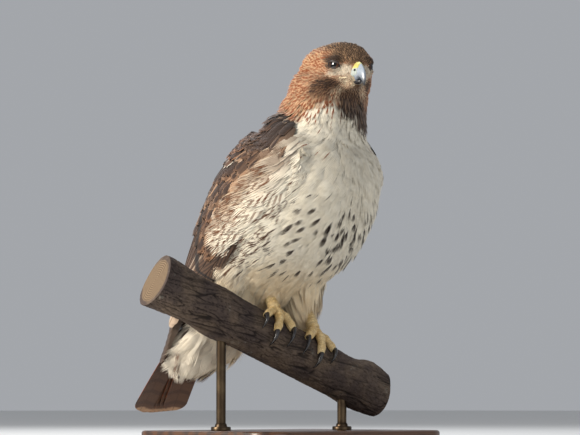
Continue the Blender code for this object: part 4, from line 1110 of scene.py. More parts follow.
@dataclass
class Skin:
    """One skin over all the flesh; it lies inside the coat by the coat's depth."""

    voxel: float = 0.00162
    smoothing: int = 5
    wing_drop: float = 0.0040
    wing_thick: float = 0.012
    wing_rows: int = 40
    wing_columns: int = 14
    wing_end: float = 6.7
    brow_line: tuple = (
        (-0.006, 0.0238, 0.0098, 0.0026),
        (0.006, 0.0232, 0.0090, 0.0036),
        (0.016, 0.0196, 0.0070, 0.0036),
        (0.026, 0.0134, 0.0040, 0.0028),
    )
    lid_room: float = 0.0018
    chin_place: tuple = (0.0225, 0.0, -0.0182)
    chin_size: tuple = (0.0150, 0.0098, 0.0062)
    flesh: tuple = ("torso", "neck", "head", "thigh_left", "thigh_right", "tail_coverts")
    wing_tree: BVHTree | None = None
    tree: BVHTree | None = None
    object: bpy.types.Object | None = None

    def wing_sheet(self, bm: bmesh.types.BMesh, side: Side) -> None:
        """Adds the folded wing's flesh as a bent slab over the flank."""
        made = bmesh.ops.create_grid(bm, x_segments=self.wing_columns, y_segments=self.wing_rows, size=0.5)
        verts = made["verts"]
        u = np.array([vert.co.x + 0.5 for vert in verts])
        t = np.array([vert.co.y + 0.5 for vert in verts])
        place = t * self.wing_end
        edges = station_values(WING_EDGES, place)
        degrees = side.value * (edges[:, 0] + (edges[:, 1] - edges[:, 0]) * u)
        for vert, point in zip(verts, WING.points(place, degrees, -self.wing_drop)):
            vert.co = point
        faces = list({face for vert in verts for face in vert.link_faces})
        bmesh.ops.recalc_face_normals(bm, faces=faces)
        bm.normal_update()
        outward = sum((face.normal.x for face in faces)) * side.value
        if outward < 0:
            bmesh.ops.reverse_faces(bm, faces=faces)
        bmesh.ops.solidify(bm, geom=faces, thickness=self.wing_thick)

    def depth(self, zones: Zones) -> Array:
        """How deep the skin lies under the tips of the coat."""
        body = 0.0042 + 0.0004 * smooth(zones.place, 5.8, 7.0)
        ahead, left, up = zones.head.T
        crown = smooth(ahead, -26.0, -8.0)
        cheek = smooth(np.abs(left), 13.0, 25.0) * smooth(ahead, -28.0, -16.0) * smooth(zones.eye, 8.0, 14.0)
        return body + (0.0012 * crown + 0.0012 * cheek * smooth(up, 12.0, 3.0) - body) * zones.on_head

    def brow(self, bm: bmesh.types.BMesh, side: Side) -> None:
        """Adds the shelf of the brow over one eye."""
        rings = []
        for ahead, left, up, radius in station_values(self.brow_line, np.linspace(0.0, 3.0, 16)):
            centre = on_head(ahead, side.value * left, up)
            turn = head_frame().to_3x3()
            out, high = turn @ Vector((0.0, side.value, 0.0)), Vector((0.0, 0.0, 1.0))
            rings.append(ring_of(centre, out, high, radius, radius * 0.8, radius, 16))
        shelf = mesh_of(sweep(rings), "brow")
        bm.from_mesh(shelf)

    def eyelids(self, bm: bmesh.types.BMesh, side: Side) -> None:
        """Adds a ball that the skin follows round one eyeball."""
        eye = Eye(side)
        made = bmesh.ops.create_uvsphere(bm, u_segments=48, v_segments=32, radius=eye.radius + self.lid_room)["verts"]
        bmesh.ops.translate(bm, verts=made, vec=eye.frame()[0])

    def chin(self, bm: bmesh.types.BMesh) -> None:
        """Adds the full chin under the lower bill."""
        made = bmesh.ops.create_uvsphere(bm, u_segments=32, v_segments=16, radius=1.0)["verts"]
        bmesh.ops.scale(bm, verts=made, vec=self.chin_size)
        bmesh.ops.transform(bm, verts=made, matrix=head_frame() @ Matrix.Translation(self.chin_place))

    def open_eyes(self, mesh: bpy.types.Mesh) -> None:
        """Lays the skin over the eyeballs and takes it away in front of them."""
        bm = bmesh.new()
        bm.from_mesh(mesh)
        for side in Side:
            eye = Eye(side)
            centre, sight, long, high = eye.frame()
            doomed = []
            for vert in bm.verts:
                rel = vert.co - centre
                ahead = rel.dot(sight)
                if rel.length < eye.radius + eye.cover:
                    vert.co = centre + rel.normalized() * (eye.radius + eye.cover)
                    rel = vert.co - centre
                if rel.length < eye.radius * 2.0 and ahead > 0.0:
                    across, tall = rel.dot(long), rel.dot(high)
                    edge = eye.upper if tall > 0 else eye.lower
                    if (across / eye.reach) ** 2 + (tall / edge) ** 2 < 1.0:
                        doomed.append(vert)
            bmesh.ops.delete(bm, geom=doomed, context="VERTS")
        bm.to_mesh(mesh)
        bm.free()

    def build(self, frame: dict, markings: Markings) -> bpy.types.Object:
        """Fuses copies of the flesh, smooths and shrinks them, and paints them.

        Args:
            frame: the loaded frame.
            markings: the colours.

        Returns:
            The skin.
        """
        bm = bmesh.new()
        for name in self.flesh:
            bm.from_mesh(frame["nodes"][name].data)
        bmesh.ops.remove_doubles(bm, verts=bm.verts, dist=0.01 * MM)
        sheets = bmesh.new()
        for side in Side:
            self.wing_sheet(bm, side)
            self.wing_sheet(sheets, side)
            self.brow(bm, side)
            self.eyelids(bm, side)
        self.chin(bm)
        self.wing_tree = BVHTree.FromBMesh(sheets)
        sheets.free()
        mesh = mesh_of(bm, "skin")
        item = bpy.data.objects.new("skin_source", mesh)
        bpy.context.scene.collection.objects.link(item)
        fuse = item.modifiers.new("fuse", "REMESH")
        fuse.mode, fuse.voxel_size = "VOXEL", self.voxel
        even = item.modifiers.new("even", "SMOOTH")
        even.factor, even.iterations = 0.5, self.smoothing
        graph = bpy.context.evaluated_depsgraph_get()
        skin = bpy.data.meshes.new_from_object(item.evaluated_get(graph))
        bpy.data.objects.remove(item)
        points = points_of(skin)
        normals = np.zeros(len(points) * 3, np.float32)
        skin.vertex_normals.foreach_get("vector", normals)
        zones = Zones(points)
        points = points - normals.reshape(-1, 3) * self.depth(zones)[:, None]
        skin.vertices.foreach_set("co", points.astype(np.float32).ravel())
        self.open_eyes(skin)
        skin.shade_smooth()
        zones = Zones(points_of(skin))
        colours = markings.of(zones, np.random.default_rng(SEED))["coat"]
        write_values(skin, "coat", opaque(colours))
        self.object = add_piece("skin", skin, SkinFinish().material(), self.flesh)
        self.tree = BVHTree.FromObject(self.object, bpy.context.evaluated_depsgraph_get())
        return self.object

    def snap(self, points: Array) -> tuple[Array, Array]:
        """The nearest points on the skin, and its normals there."""
        places, normals = np.empty_like(points), np.empty_like(points)
        for n, point in enumerate(points):
            place, normal, _, _ = self.tree.find_nearest(Vector(point))
            places[n], normals[n] = place, normal
        return places, normals

    def scatter(self, spacing: Callable[[Zones], Array], rng: np.random.Generator, tries: int) -> tuple[Array, Array]:
        """Spreads roots over the skin, no two nearer than the spacing at their place.

        Args:
            spacing: gives the least distance at zones; infinite where nothing grows.
            rng: the seeded draw.
            tries: how many places are tried.

        Returns:
            The roots and the normals there.
        """
        mesh = self.object.data
        mesh.calc_loop_triangles()
        corners = np.zeros(len(mesh.loop_triangles) * 3, np.int32)
        mesh.loop_triangles.foreach_get("vertices", corners)
        triangles = points_of(mesh)[corners.reshape(-1, 3)]
        cross = np.cross(triangles[:, 1] - triangles[:, 0], triangles[:, 2] - triangles[:, 0])
        area = np.linalg.norm(cross, axis=1)
        gap = spacing(Zones(triangles.mean(axis=1)))
        weight = np.where(np.isfinite(gap), area / np.where(np.isfinite(gap), gap, 1.0) ** 2, 0.0)
        chosen = rng.choice(len(triangles), tries, p=weight / weight.sum())
        a, b = rng.uniform(0, 1, (2, tries, 1))
        flip = a + b > 1
        a, b = np.where(flip, 1 - a, a), np.where(flip, 1 - b, b)
        first, second, third = triangles[chosen, 0], triangles[chosen, 1], triangles[chosen, 2]
        points = first + (second - first) * a + (third - first) * b
        normals = unit(cross[chosen])
        gaps = gap[chosen]
        cell = float(gaps.max())
        taken: dict = {}
        kept = []
        keys = np.floor(points / cell).astype(int)
        for n in range(tries):
            x, y, z = keys[n]
            point, least = points[n], gaps[n] ** 2
            near = (m for i in (x - 1, x, x + 1) for j in (y - 1, y, y + 1) for k in (z - 1, z, z + 1)
                    for m in taken.get((i, j, k), ()))
            if all((m[0] - point[0]) ** 2 + (m[1] - point[1]) ** 2 + (m[2] - point[2]) ** 2 > least for m in near):
                taken.setdefault((x, y, z), []).append(tuple(point))
                kept.append(n)
        return points[kept], normals[kept]

    def on_wing(self, points: Array, reach: float = 0.006) -> Array:
        """Whether each point lies on the wing's own flesh."""
        return np.array([self.wing_tree.find_nearest(Vector(point), reach)[0] is not None for point in points])


def lie_of(zones: Zones, normals: Array) -> Array:
    """The way that feathers point, along the surface.

    Args:
        zones: where they grow.
        normals: the skin's normals there.

    Returns:
        Unit directions.
    """
    _, centre, along, back = TORSO.frame(zones.place)
    out = unit(zones.points - centre)
    round_back = np.cross(np.broadcast_to(along, out.shape), out) * -np.sign(zones.degrees)[:, None]
    round_back = np.where((round_back * back).sum(-1, keepdims=True) < 0, -round_back, round_back)
    sweep_turn = np.radians(26.0) * smooth(zones.turn, 178.0, 146.0) * smooth(zones.turn, 60.0, 95.0)
    sweep_turn = sweep_turn * smooth(zones.place, 6.6, 5.9) * smooth(zones.place, 2.5, 3.3)
    body = -along * np.cos(sweep_turn)[:, None] + unit(round_back) * np.sin(sweep_turn)[:, None]
    _, tail_along, _, _, _ = tail_frame()
    fan = tail_along + np.array([16.0, 0.0, 0.0]) * np.clip(zones.points[:, :1], -0.018, 0.018)
    body = body * (1 - zones.under_tail[:, None]) + unit(fan) * zones.under_tail[:, None]
    low = smooth(zones.points[:, 2] - PERCH_TOP, 0.050, 0.020) * smooth(zones.turn, 90.0, 130.0)
    body = unit(body) + np.array([0.0, 0.0, -0.8]) * (low * (1 - zones.under_tail))[:, None]
    frame = np.array(head_frame())[:3, :3]
    bill = np.array([30.0, 0.0, -5.0])
    away = unit(zones.head - bill) @ frame.T
    lie = unit(body) * (1 - zones.on_head[:, None]) + away * zones.on_head[:, None]
    lie = lie - normals * (lie * normals).sum(-1, keepdims=True)
    return unit(lie)


@dataclass
class BodyCoat:
    """All the small feathers of head, neck, body, legs and under the tail."""

    skin: Skin
    markings: Markings
    steps: int = 5
    tries: int = 90000
    wing_lift: float = 0.0062
    ridge: float = 0.0026
    hem: float = 0.048
    left_ankle: tuple = (0.026, 0.002, 0.112)

    def spacing(self, zones: Zones) -> Array:
        """The distance between roots."""
        body = 0.0036 + 0.0004 * smooth(zones.turn, 100.0, 70.0)
        neck = smooth(zones.place, 6.0, 6.9)
        gap = body + (0.0030 - body) * neck
        face = smooth(zones.head[:, 0], 2.0, 18.0)
        gap = gap + (0.0021 - 0.0007 * face - gap) * zones.on_head
        bare = (zones.eye < 5.0) & (zones.on_head > 0.5)
        bill = (zones.head[:, 0] > 33.0) & (zones.on_head > 0.5)
        return np.where(bare | bill, np.inf, gap)

    def sizes(self, zones: Zones, rng: np.random.Generator) -> tuple[Array, Array, Array]:
        """Length, half width and lift at the tip of each feather."""
        place, turn = zones.place, zones.turn
        flank = smooth(turn, 88.0, 100.0) * smooth(turn, 140.0, 124.0) * smooth(place, 5.8, 5.2)
        length = 0.027 + 0.011 * flank
        half = 0.0052 + 0.0022 * flank
        back = smooth(turn, 90.0, 70.0)
        shoulder = back * smooth(place, 4.4, 5.2)
        length, half = length - 0.004 * back - 0.006 * shoulder, half + 0.0014 * back - 0.0008 * shoulder
        length, half = length + 0.012 * zones.under_tail, half - 0.0018 * zones.under_tail
        thigh = smooth(zones.points[:, 2] - PERCH_TOP, 0.075, 0.035) * (1 - zones.under_tail)
        length, half = length + 0.002 * thigh, half - 0.0014 * thigh
        neck = smooth(place, 5.9, 6.9)
        length, half = length + (0.0180 - length) * neck, half + (0.0031 - half) * neck
        face = smooth(zones.head[:, 0], 0.0, 20.0)
        on_head = zones.on_head
        length = length + (0.0095 - 0.0052 * face - length) * on_head
        half = half + (0.0021 - 0.0010 * face - half) * on_head
        lift = 0.0042 - 0.0014 * neck + 0.0030 * thigh + 0.0060 * zones.under_tail
        nape = smooth(zones.head[:, 0], -10.0, -28.0) * smooth(zones.head[:, 2], -24.0, -8.0)
        lift = lift + (0.0018 - 0.0009 * face + 0.0030 * nape - lift) * on_head + 0.0015 * flank
        lift = lift + 0.0056 * smooth(place, 5.9, 6.2) * smooth(place, 7.1, 6.6) * smooth(turn, 100.0, 60.0)
        vary = rng.uniform(0.82, 1.18, (2, len(place)))
        return length * vary[0], half * vary[1], lift * rng.uniform(0.75, 1.15, len(place))

    def grow(self) -> Plumes:
        """Roots, traces and paints every feather."""
        rng = np.random.default_rng(SEED + 1)
        roots, normals = self.skin.scatter(self.spacing, rng, self.tries)
        zones = Zones(roots)
        on_wing = self.skin.on_wing(roots)
        free = ~on_wing | (zones.turn > wing_limit(zones.place)) | on_mantle(zones)
        roots, normals, on_wing = roots[free], normals[free], on_wing[free]
        zones = Zones(roots)
        length, half, lift = self.sizes(zones, rng)
        spine, facing = [roots], [normals]
        loose = 5.0 + 5.0 * zones.on_head + 9.0 * zones.under_tail
        stray = np.radians(rng.normal(0.0, 1.0, len(roots)) * loose)
        low = smooth(roots[:, 2] - PERCH_TOP, self.hem + 0.012, self.hem) * smooth(zones.turn, 90.0, 120.0)
        free_tips = zones.under_tail * (0.25 + 0.6 * smooth(np.abs(roots[:, 0]), 0.010, 0.026))
        hang = np.maximum(low * (1 - zones.under_tail), free_tips)[:, None]
        for _ in range(self.steps - 1):
            here, normal = spine[-1], facing[-1]
            ahead = lie_of(Zones(here), normal)
            inward = unit(np.array(self.left_ankle) - here) * (here[:, :1] > 0.0) * low[:, None]
            inward = inward * (1 - zones.under_tail[:, None])
            ahead = unit(ahead * (1.0 - 0.9 * np.linalg.norm(inward, axis=1, keepdims=True)) + 0.9 * inward)
            ahead = ahead * np.cos(stray)[:, None] + np.cross(normal, ahead) * np.sin(stray)[:, None]
            ahead = ahead * (length / (self.steps - 1))[:, None]
            place, turned = self.skin.snap(here + ahead)
            spine.append(place * (1 - hang) + (here + ahead) * hang)
            facing.append(unit(unit(turned * 0.6 + normal * 0.4) * (1 - hang) + normal * hang))
        looks = self.markings.of(zones, rng)
        ridges = np.array([noise.noise(Vector((angle * 0.12, place * 1.1, 0.0)))
                           for place, angle in zip(zones.place, zones.degrees)])
        front = np.abs(station_values(WING_EDGES, 7.0 - zones.place)[:, 1])
        raised = self.wing_lift * on_wing * smooth(front - zones.turn, 2.0, 16.0) * smooth(zones.place, 6.6, 5.8)
        lift = lift + raised + self.ridge * ridges * (1 - zones.on_head)
        low = -0.0004 + 0.8 * raised + self.ridge * ridges * (1 - zones.on_head)
        marked = (looks["traits"][:, 0] > 0.1) | (looks["traits"][:, 2] > 0.1)
        lifts = np.stack([low, lift + 0.0012 * marked], -1)
        bake = zones.bake
        return Plumes(np.stack(spine, 1), np.stack(facing, 1), half, lifts, bake=bake, **looks)

    def build(self) -> list[bpy.types.Object]:
        """Grows the coat and parts it into its tracts."""
        plumes = self.grow()
        zones = Zones(plumes.spine[:, 0])
        small = Blade.soft(4, (0.0, 0.35, 0.62), (0.5, 0.9, 1.0))
        silky = Blade.soft(7, (0.0, 0.25, 0.5), (0.40, 0.85, 1.0))
        firm = Blade.soft(6, (0.0, 0.3, 0.6, 0.86), (0.45, 0.85, 1.0, 0.92), 0.45)
        head = zones.on_head > 0.5
        neck = ~head & (zones.place > 6.3)
        tail = ~head & (zones.under_tail > 0.5)
        tail_root, _, _, over, _ = tail_frame()
        below_tail = (plumes.spine[:, -1] - tail_root) @ over < 0.0
        back = ~head & ~neck & ~tail & (zones.turn < 88.0)
        breast = ~head & ~neck & ~tail & ~back & (zones.place > 4.6)
        belly = ~head & ~neck & ~tail & ~back & ~breast
        finish = PlumageFinish("soft_plumage", bars=3.6, wash=0.14).material()
        made = []
        for name, chosen, blade, slot in (
            ("coat_head", head, small, "head_feathers"), ("coat_neck", neck, small, "head_feathers"),
            ("coat_breast", breast, silky, "body_feathers"), ("coat_belly", belly, silky, "body_feathers"),
            ("coat_back", back, firm, "body_feathers"),
            ("coat_under_tail", tail & below_tail, silky, "body_feathers"),
        ):
            mesh = plumes.kept(chosen).mesh(name, blade, np.random.default_rng(SEED + 2))
            made.append(add_piece(name, mesh, finish))
        return made


def form_facing(form: Form, places: Array, degrees: Array) -> Array:
    """Outward normals of a form."""
    along = form.points(places + 0.03, degrees) - form.points(places - 0.03, degrees)
    round_it = form.points(places, degrees + 1.0) - form.points(places, degrees - 1.0)
    normal = unit(np.cross(round_it, along))
    _, centre, _, _ = form.frame(np.broadcast_to(places, normal.shape[:-1]))
    outward = form.points(places, degrees) - centre
    return np.where((normal * outward).sum(-1, keepdims=True) < 0, -normal, normal)


def on_wing_form(places: Array, shares: Array, side: Side) -> tuple[Array, Array]:
    """Points and normals of the folded wing; shares run from its upper edge to its lower."""
    edges = station_values(WING_EDGES, places)
    degrees = side.value * (edges[..., 0] + (edges[..., 1] - edges[..., 0]) * shares)
    return WING.points(places, degrees), form_facing(WING, places, degrees)


@dataclass
class WingPlumage:
    """The folded wing's scapulars, coverts and flight feathers."""

    markings: Markings
    steps: int = 7
    rows: int = 19
    row_start: float = 0.15
    row_end: float = 3.5
    secondaries: int = 13
    primaries: int = 7
    # Height and Y of the painted shadow line along the gap between wing and back.
    fold_shadow_line: tuple = ((0.183, 0.064), (0.202, 0.067), (0.218, 0.064), (0.233, 0.062), (0.249, 0.061), (0.265, 0.063),
                        (0.290, 0.048))
    flight_colour: tuple = paint(92, 68, 52)
    flight_bar: tuple = paint(52, 37, 30)
    flight_edge: tuple = paint(206, 182, 156)

    def laid(self, start: Array, end: Array, share: Array, tilt: Array, half: Array, low: Array, high: Array,
             side: Side, looks: dict[str, Array]) -> Plumes:
        """Lays one feather for each row of the arrays.

        Args:
            start: places of the roots on the wing.
            end: places of the tips.
            share: how far from the wing's upper edge the roots lie.
            tilt: how much the share changes by the tip.
            half: half widths.
            low: lifts at the roots.
            high: lifts at the tips.
            side: which wing.
            looks: coat, mark, rim and traits of each feather.

        Returns:
            The feathers.
        """
        t = np.linspace(0.0, 1.0, self.steps)[None]
        places = start[:, None] + (end - start)[:, None] * t
        shares = share[:, None] + tilt[:, None] * t
        spine, normal = on_wing_form(places, shares, side)
        bake = np.stack([0.5 + side.value * (0.06 + 0.40 * np.clip(share, 0, 1)),
                         np.clip(start, 0.0, 9.0) / 9.4 + 0.02], -1)
        return Plumes(spine, normal, half, np.stack([low, high], -1), bake=np.clip(bake, 0.01, 0.99), **looks)

    def covert_looks(self, roots: Array, rng: np.random.Generator) -> dict[str, Array]:
        """Dark at the shoulder, brown with rufous-buff edges behind it."""
        zones = Zones(roots)
        place, turn = zones.place, zones.turn
        chance = rng.uniform(0.0, 1.0, (len(place), 4))
        ones = np.ones((len(place), 1))
        brown = mix(np.array(paint(112, 82, 60)) * ones, paint(70, 50, 39), chance[:, 0])
        dark = smooth(place, 4.7, 5.5) * smooth(turn, 112.0, 100.0)
        dark = np.maximum(dark, smooth(turn, 74.0, 60.0) * (0.5 + 0.4 * chance[:, 1]))
        coat = mix(brown, self.markings.dark, np.clip(dark, 0.0, 1.0))
        front = smooth(wing_limit(place) - turn, 26.0, 2.0) * smooth(place, 5.9, 5.3) * smooth(place, 2.9, 3.5)
        coat = mix(coat, self.markings.buff_rufous, front * (0.15 + 0.75 * chance[:, 3]))
        pale = (chance[:, 2] > 0.86) * smooth(turn, 30.0, 44.0) * smooth(turn, 74.0, 62.0) * smooth(place, 5.6, 5.0)
        coat = mix(coat, self.markings.buff_rufous, 0.5 * pale)
        rim = mix(np.array(paint(186, 150, 120)) * ones, self.markings.rufous, 0.5 * chance[:, 1])
        rim = mix(rim, self.markings.white, np.clip(front * 1.2 - chance[:, 0], 0.0, 1.0) + 0.5 * pale)
        rim = mix(rim, paint(116, 84, 62), smooth(place, 5.0, 5.7) * (1 - front))
        edging = (0.20 + 0.55 * chance[:, 3]) * (1.0 - 0.4 * np.clip(dark, 0.0, 1.0))
        mark = np.array(paint(54, 38, 30)) * ones
        traits = np.stack([0.45 * chance[:, 1] * (chance[:, 1] > 0.3), edging, np.zeros(len(place))], -1)
        return {"coat": coat * (0.74 + 0.28 * chance[:, 2:3]), "mark": mark, "rim": rim, "traits": traits}

    def coverts(self, side: Side, rng: np.random.Generator) -> Plumes:
        """All the rows of coverts, smallest at the wrist."""
        start, share, half, end = [], [], [], []
        for row in range(self.rows):
            t = row / (self.rows - 1)
            place = self.row_start + (self.row_end - self.row_start) * t**0.85
            edges = station_values(WING_EDGES, np.array([place]))[0]
            width = math.radians(edges[1] - edges[0]) * station_values(WING_STATIONS, np.array([place]))[0, 3]
            size = 0.0046 + 0.0048 * smooth(t, 0.0, 0.75)
            count = max(3, int(width / (size * 1.25)))
            spots = (np.arange(count) + 0.5 * (row % 2)) / (count - 0.5)
            start.append(place + rng.uniform(-0.11, 0.11, count))
            share.append(spots + rng.uniform(-0.45, 0.45, count) / count)
            half.append(np.full(count, size) * rng.uniform(0.80, 1.15, count))
            end.append(start[-1] + (0.80 + 0.35 * smooth(t, 0.4, 1.0)) * rng.uniform(0.92, 1.08, count)
                       * (1.5 - 0.7 * smooth(t, 0.0, 0.3)))
        start, share, half, end = (np.concatenate(rows) for rows in (start, share, half, end))
        root = Zones(on_wing_form(start, share, side)[0])
        tip = Zones(on_wing_form(np.minimum(end, 6.0), share, side)[0])
        shown = (root.turn < wing_limit(root.place) + 7.0) & (tip.turn < wing_limit(tip.place) + 5.0)
        shown &= ~on_mantle(root)
        start, share, half, end = start[shown], share[shown], half[shown], end[shown]
        roots, _ = on_wing_form(start, share, side)
        tips, _ = on_wing_form(np.minimum(end, 6.0), share, side)
        looks = self.covert_looks(roots * 0.35 + tips * 0.65, rng)
        low = np.full(len(start), -0.0030)
        high = 0.0008 + rng.uniform(-0.0005, 0.0007, len(start))
        tilt = 0.03 + rng.uniform(-0.03, 0.03, len(start))
        return self.laid(start, end, share, tilt, half, low, high, side, looks)

    def flight_looks(self, long: Array, rng: np.random.Generator) -> dict[str, Array]:
        """Brown with dark bars and a pale edge; long is 1 for primaries, which are darker and plainer."""
        count = len(long)
        ones = np.ones((count, 1))
        tone = rng.uniform(0.88, 1.08, (count, 1)) * (1.0 - 0.5 * long[:, None])
        traits = np.stack([np.zeros(count), 0.6 - 0.5 * long, np.full(count, 0.8)], -1)
        return {"coat": np.array(self.flight_colour) * tone, "mark": np.array(self.flight_bar) * ones,
                "rim": np.array(self.flight_edge) * ones, "traits": traits}

    def flight(self, side: Side, rng: np.random.Generator) -> Plumes:
        """Secondaries and the primaries that reach past them."""
        n = self.secondaries
        share = np.linspace(0.03, 0.95, n)
        start = np.full(n, 3.3) + 0.3 * share
        end = 6.45 + 0.85 * share**1.5 - 1.5 * smooth(share, 0.72, 0.95)
        low, high = -0.0044 - 0.0002 * np.arange(n) / n, 0.0004 - 0.0020 * share + 0.0040 * smooth(share, 0.6, 0.9)
        m = self.primaries
        k = np.arange(m)
        start = np.concatenate([start, np.full(m, 5.5)])
        end = np.concatenate([end, np.minimum(7.05 + 0.32 * k, 9.0)])
        share = np.concatenate([share, 0.62 + 0.035 * k])
        low = np.concatenate([low, -0.0048 - 0.0006 * k])
        high = np.concatenate([high, -0.0022 - 0.0007 * k])
        tilt = np.concatenate([np.full(n, 0.06), -0.02 * k - 0.04])
        half = np.concatenate([np.full(n, 0.0112), np.full(m, 0.0118) - 0.0003 * k])
        return self.laid(start, end, share, tilt, half, low, high, side, self.flight_looks(np.repeat((0.0, 1.0), (n, m)), rng))

    def fold_shadow(self, mesh: bpy.types.Mesh) -> Array:
        """How many half widths each vertex lies from the painted shadow line between wing and back."""
        _, back, height = points_of(mesh).T
        line = np.interp(height, *zip(*self.fold_shadow_line))
        width = 0.0028 + 0.0026 * smooth(height, 0.270, 0.205) * smooth(height, 0.172, 0.200)
        ends = smooth(height, 0.290, 0.310) + smooth(height, 0.186, 0.168)
        return (back - line) / width + 9.0 * ends

    def build(self) -> list[bpy.types.Object]:
        """Makes each wing's coverts and flight feathers."""
        made = []
        rng = np.random.default_rng(SEED + 3)
        covert = Blade.soft(9, (0.0, 0.3, 0.55, 0.75, 0.9), (0.55, 0.85, 1.0, 0.97, 0.80), 0.35)
        long_blade = Blade.firm(6, 26, 0.10, solid=True)
        for side in Side:
            word = side.name.lower()
            small = self.coverts(side, rng)
            small.camber, small.ragged = 0.22, 0.03
            # The right wing's feathers carry a painted shadow line along the gap between wing and back.
            finish = PlumageFinish("wing_coverts", shaft=0.5, barbs=26.0, folded=side is Side.RIGHT).material()
            mesh = small.mesh(f"coverts_{word}", covert, rng)
            write_values(mesh, "fold_shadow", self.fold_shadow(mesh))
            made.append(add_piece(f"coverts_{word}", mesh, finish, (f"wing_{word}",)))
            large = self.flight(side, rng)
            large.camber, large.ragged, large.thick, large.patch = 0.16, 0.0, 0.00018, (0.006, 0.02)
            finish = PlumageFinish("flight_feathers", 0.62, shaft=0.7, barbs=90.0, bars=9.0,
                                   folded=side is Side.RIGHT).material()
            mesh = large.mesh(f"flight_{word}", long_blade, rng)
            write_values(mesh, "fold_shadow", self.fold_shadow(mesh))
            made.append(add_piece(f"flight_{word}", mesh, finish, (f"wing_{word}",)))
        return made


@dataclass
class TailPlumage:
    """Twelve tail feathers, rufous above with a dark band; below barred, and painted dark brown as the shade over
    their paler undersides.
    """

    markings: Markings
    pairs: int = 6
    half: float = 0.0155
    pitch: float = 0.00148
    roof: float = math.radians(7.0)
    root_gap: float = 0.050
    steps: int = 12
    above: tuple = paint(158, 84, 52)
    above_band: tuple = paint(52, 32, 24)
    # The under face is painted dark brown as shade over a paler underside; its bars darker still.
    below: tuple = paint(88, 62, 46)
    below_bar: tuple = paint(62, 42, 34)
    tip: tuple = paint(164, 128, 98)

    def laid(self, lift: float, coat: tuple, bar: tuple, bars: float) -> Plumes:
        """Lays one face of every tail feather.

        Args:
            lift: how far this face lies from the feather's middle.
            coat: its colour.
            bar: the colour of its bars.
            bars: how strongly they show.

        Returns:
            The feathers.
        """
        root, along, across, over, length = tail_frame()
        t = np.linspace(0.0, 1.0, self.steps)
        spines, normals = [], []
        for side in Side:
            for pair in range(self.pairs):
                reach = length * (1.0 - 0.010 * pair)
                run = self.root_gap + (reach - self.root_gap) * t
                aside = (0.0015 + 0.0010 * pair) + ((0.0030 + 0.0042 * pair) - (0.0015 + 0.0010 * pair)) * t
                drop = self.pitch * (pair + (0.25 if side is Side.LEFT else 0.0))
                lifted = 0.0030 + 0.004 * np.sin(math.pi * t) - drop - aside * math.tan(self.roof)
                spines.append(root + along * run[:, None] + across * (side.value * aside)[:, None]
                              + over * lifted[:, None])
                facing = over * math.cos(self.roof) + across * side.value * math.sin(self.roof)
                normals.append(np.broadcast_to(facing, spines[-1].shape))
        count = len(spines)
        ones = np.ones((count, 1))
        lifts = np.full((count, 2), lift)
        traits = np.stack([np.zeros(count), np.full(count, 0.8), np.full(count, bars)], -1)
        cells = np.arange(count)
        bake = np.stack([0.15 + 0.7 * cells / (count - 1), np.full(count, 0.5 if lift > 0 else 0.25)], -1)
        return Plumes(np.array(spines), np.array(normals), np.full(count, self.half), lifts,
                      np.array(coat) * ones, np.array(bar) * ones, np.array(self.tip) * ones, traits, bake,
                      camber=0.06, ragged=0.0, patch=(0.03, 0.2))

    def build(self) -> list[bpy.types.Object]:
        """Makes the upper and the under face of the tail."""
        rng = np.random.default_rng(SEED + 4)
        made = []
        solid = Blade.firm(8, 40, 0.07, solid=True)
        sheet = Blade.firm(8, 40, 0.07)
        for name, lift, coat, bar, bars, blade, count in (
            ("tail_upper_side", 0.00022, self.above, self.above_band, 1.0, solid, 1.0),
            ("tail_under_side", -0.00030, self.below, self.below_bar, 0.5, sheet, 10.0),
        ):
            finish = TailFinish(name, band=count == 1.0).material()
            mesh = self.laid(lift, coat, bar, bars).mesh(name, blade, rng)
            made.append(add_piece(name, mesh, finish, ("tail",)))
        return made


@dataclass(frozen=True)
class TailFinish:
    """Tail feathers: one dark band near the tip above, or faint bars below, with a pale tip."""

    name: str
    band: bool

    def material(self) -> bpy.types.Material:
        """Makes the material."""
        wire = Wiring(self.name)
        coat, mark, rim, traits = (wire.attribute(name) for name in ("coat", "mark", "rim", "traits"))
        bars = wire.node("ShaderNodeSeparateXYZ", {0: traits.outputs["Vector"]}).outputs[2]
        vane = wire.node("ShaderNodeSeparateXYZ", {0: wire.node("ShaderNodeUVMap", uv_map="vane").outputs[0]})
        aside = wire.math("ABSOLUTE", wire.math("MULTIPLY_ADD", vane.outputs[0], 2.0, -1.0))
        grain = wire.noise(wire.place(), 260.0, 3.0)
        bend = wire.math("MULTIPLY_ADD", aside, -0.02, vane.outputs[1])
        along = wire.math("MULTIPLY_ADD", grain, 0.014, bend)
        if self.band:
            shape = wire.math("MULTIPLY", wire.step(along, 0.875, 0.89), wire.step(along, 0.955, 0.94))
        else:
            wave = wire.math("SINE", wire.math("MULTIPLY", along, 11.0 * 2.0 * math.pi))
            shape = wire.math("MULTIPLY", wire.step(wave, 0.2, 0.9), bars)
        colour = wire.blend(shape, coat.outputs["Color"], mark.outputs["Color"])
        colour = wire.blend(wire.step(along, 0.965, 0.985), colour, rim.outputs["Color"])
        shaft = wire.step(aside, 0.06, 0.02)
        colour = wire.blend(wire.math("MULTIPLY", shaft, 0.6), colour, (*paint(70, 46, 34), 1.0))
        hairs = wire.math("SINE", wire.math("MULTIPLY", wire.math("MULTIPLY_ADD", aside, -0.12, vane.outputs[1]),
                                            200.0 * 2.0 * math.pi))
        value = wire.math("MULTIPLY_ADD", hairs, 0.05, wire.math("MULTIPLY_ADD", grain, 0.30, 0.84))
        grey = wire.node("ShaderNodeCombineXYZ", {0: value, 1: value, 2: value}).outputs[0]
        wire.bump(hairs, 0.25, 0.00012)
        return wire.finish(wire.blend(1.0, colour, grey, "MULTIPLY"), 0.6, Specular_IOR_Level=0.3)


